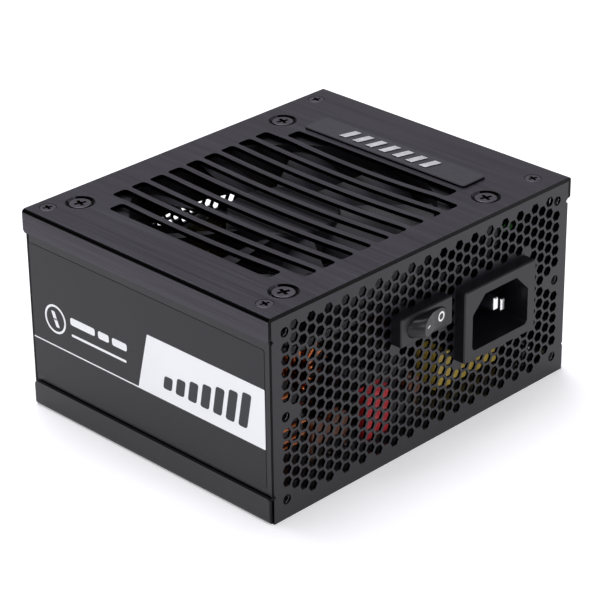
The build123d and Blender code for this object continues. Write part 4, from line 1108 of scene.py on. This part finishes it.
@dataclass
class MainsSwitch(SubAssembly):
    """Rocker switch with its two printed marks."""

    pivot: Vector = field(default_factory=lambda: Vector((-4.3, -49.4, 42.05)) * MM)
    tilt: float = math.radians(15.0)
    valley: float = 5.6 * MM
    face_slope: float = math.atan2(6.434 - 5.6, 6.434)
    mark_height: float = 0.05 * MM
    ring_outer: float = 1.5 * MM
    ring_inner: float = 0.98 * MM
    ring_reach: float = 4.0 * MM
    dash_reach: float = 3.4 * MM
    dash_length: float = 1.9 * MM
    dash_width: float = 0.4 * MM
    dash_round: float = 0.12 * MM
    ring_sides: int = 48
    body_round: float = 0.12
    rocker_round: float = 0.22

    def facet(self, side: float, reach: float) -> tuple[Vector, Matrix]:
        """Point and turn of a mark on one facet of the rocker.

        Args:
            side: +1 for the pressed facet, -1 for the raised one.
            reach: Distance from the valley along the facet.

        Returns:
            The point and the rotation from +Z to the facet's normal.
        """
        along = Vector((side * math.cos(self.face_slope), -math.sin(self.face_slope), 0))
        outward = Vector((-side * math.sin(self.face_slope), -math.cos(self.face_slope), 0))
        start = Vector((0, -self.valley, 0))
        swing = Matrix.Rotation(self.tilt, 4, "Z")
        point = self.pivot + swing @ (start + along * reach)
        normal = swing @ outward
        return point, normal.to_track_quat("Z", "X").to_matrix().to_4x4()

    def build(self) -> None:
        """Build the switch and its marks."""
        self.skin("switch_body", Palette.SWITCH, "switch_black", self.body_round)
        self.skin("switch_rocker", Palette.SWITCH, "switch_black", self.rocker_round, ROCKER_BODY)
        self.paint(Palette.TIN, "switch_terminals")
        point, turn = self.facet(1.0, self.ring_reach)
        ring = ring_band(
            "mark_off", point, self.ring_outer, self.ring_inner, self.mark_height, turn, self.ring_sides
        )
        smooth(ring)
        self.keep(ring, Palette.MARK, ROCKER_BODY, "switch_black")
        point, turn = self.facet(-1.0, self.dash_reach)
        half_long, half_wide = self.dash_length / 2, self.dash_width / 2
        dash = slab("mark_on", (-half_long, -half_wide, 0), (half_long, half_wide, self.mark_height))
        round_sticker(dash, self.dash_round, 2)
        normal = turn.to_3x3() @ Vector((0, 0, 1))
        upright = Vector((0, 0, 1))
        axes = Matrix((upright.cross(normal), upright, normal)).transposed()
        dash.matrix_world = Matrix.Translation(point) @ axes.to_4x4()
        settle(dash, "mark_on")
        smooth(dash)
        self.keep(dash, Palette.MARK, ROCKER_BODY, "switch_black")


@dataclass
class MainsInlet(SubAssembly):
    """Mains inlet and its pins."""

    body_round: float = 0.15
    pin_round: float = 0.2

    def build(self) -> None:
        """Dress the inlet."""
        self.skin("inlet_body", Palette.SWITCH, "switch_black", self.body_round)
        self.skin("inlet_pins", Palette.TIN, "tin", self.pin_round)


@dataclass
class OutputSockets(SubAssembly):
    """Output sockets and their pins."""

    def build(self) -> None:
        """Dress the sockets."""
        self.paint(Palette.SOCKET, "sockets_board", "sockets_drive", "sockets_power")
        self.paint(Palette.TIN, "socket_pins")
        self.paint(Palette.BOARD, "output_board")


@dataclass
class Electronics(SubAssembly):
    """Boards and components inside the case."""

    box_round: float = 0.3

    def build(self) -> None:
        """Dress the components."""
        self.paint(Palette.SHEET, "insulation_sheet")
        self.paint(Palette.ZINC, "standoffs", "board_screws")
        self.paint(Palette.BOARD, "main_board", "converter_boards", "control_board")
        self.paint(Palette.COPPER, "line_choke_winding", "pfc_choke_winding", "bus_bars")
        self.paint(Palette.FERRITE, "line_choke_core", "pfc_choke_core")
        self.paint(Palette.FERRITE, "transformer_core", "line_filter_core")
        self.skin("line_capacitor", Palette.YELLOW, "cap_yellow", self.box_round)
        self.skin("red_capacitor", Palette.RED, "cap_red", self.box_round)
        self.paint(Palette.TAPE, "transformer_winding", "standby_transformer")
        self.paint(Palette.CERAMIC, "disc_capacitors")
        self.paint(Palette.EPOXY, "fuse", "transistors", "control_chips", "rectifier", "converter_coils")
        self.paint(Palette.SLEEVE, "bulk_capacitor", "output_capacitors")
        self.paint(Palette.CAN, "polymer_capacitors")
        self.paint(Palette.HEATSINK, "heatsink")
        self.paint(Palette.BROWN, "line_wire")
        self.paint(Palette.SKY, "neutral_wire")
        self.paint(Palette.GREEN, "earth_wire")


@dataclass(frozen=True)
class Lamp:
    """Place, side and power of one soft light."""

    name: str
    place: tuple[float, float, float]
    size: float
    power: float


@dataclass
class Studio:
    """Floor, lights and camera."""

    azimuth: float = -45.14
    elevation: float = 27.02
    roll: float = -0.712
    distance: float = 0.7419
    target: Vector = field(default_factory=lambda: Vector((-0.0003, 0.0, 0.0287)))
    lens: float = 150.7
    sensor: float = 36.0
    clip_near: float = 0.01
    clip_far: float = 50.0
    floor_size: float = 12.0
    lamp_color: Color = (0.96, 0.95, 1.0)
    surround_color: Color = (0.95, 0.94, 1.0)
    surround_strength: float = 0.4
    lamps: tuple[Lamp, ...] = (
        Lamp("key", (-0.12, -1.1, 0.85), 0.7, 4.6),
        Lamp("fill", (-1.1, -0.2, 0.55), 0.8, 2.5),
        Lamp("overhead", (0.15, 0.45, 1.3), 1.0, 14.0),
    )

    def build(self) -> None:
        """Build the studio."""
        self.build_floor()
        self.build_lights()
        self.build_camera()

    def build_floor(self) -> None:
        """Add the pale floor."""
        deselect()
        bpy.ops.mesh.primitive_plane_add(size=self.floor_size)
        floor = settle(bpy.context.object, "floor")
        floor.data.materials.append(PaleFloor("pale_floor").build())

    def soft_light(self, lamp: Lamp) -> None:
        """Add a square area light that faces the object.

        Args:
            lamp: Its name, place, side and power.
        """
        place = Vector(lamp.place)
        deselect()
        bpy.ops.object.light_add(type="AREA", location=place)
        light = bpy.context.object
        light.name = lamp.name
        light.data.size = lamp.size
        light.data.energy = lamp.power
        light.data.color = self.lamp_color
        light.rotation_mode = "QUATERNION"
        light.rotation_quaternion = (place - self.target).to_track_quat("Z", "Y")

    def build_lights(self) -> None:
        """Add the lights and the pale surround."""
        for lamp in self.lamps:
            self.soft_light(lamp)
        world = bpy.data.worlds.new("surround")
        world.use_nodes = True
        background = world.node_tree.nodes["Background"]
        background.inputs[0].default_value = (*self.surround_color, 1.0)
        background.inputs[1].default_value = self.surround_strength
        bpy.context.scene.world = world
        bpy.context.scene.view_settings.view_transform = "Standard"

    def build_camera(self) -> None:
        """Add the camera."""
        azimuth, elevation = math.radians(self.azimuth), math.radians(self.elevation)
        back = Vector(
            (
                math.sin(azimuth) * math.cos(elevation),
                -math.cos(azimuth) * math.cos(elevation),
                math.sin(elevation),
            )
        )
        right = Vector((0, 0, 1)).cross(back).normalized()
        up = back.cross(right)
        roll = math.radians(self.roll)
        axes = Matrix(
            (
                right * math.cos(roll) + up * math.sin(roll),
                up * math.cos(roll) - right * math.sin(roll),
                back,
            )
        ).transposed()
        deselect()
        bpy.ops.object.camera_add(location=self.target + back * self.distance)
        camera = bpy.context.object
        camera.rotation_mode = "QUATERNION"
        camera.rotation_quaternion = axes.to_quaternion()
        camera.data.lens = self.lens
        camera.data.sensor_width = self.sensor
        camera.data.clip_start = self.clip_near
        camera.data.clip_end = self.clip_far
        bpy.context.scene.camera = camera


def main() -> None:
    """Build every sub-assembly and the studio."""
    logging.basicConfig(level=logging.INFO, format="%(name)s %(message)s")
    finisher = Finisher()
    for kind in (CaseShell, WallLabels, CoolingFan, MainsSwitch, MainsInlet, OutputSockets, Electronics):
        kind(finisher).build()
    Studio().build()


if __name__ == "__main__":
    main()
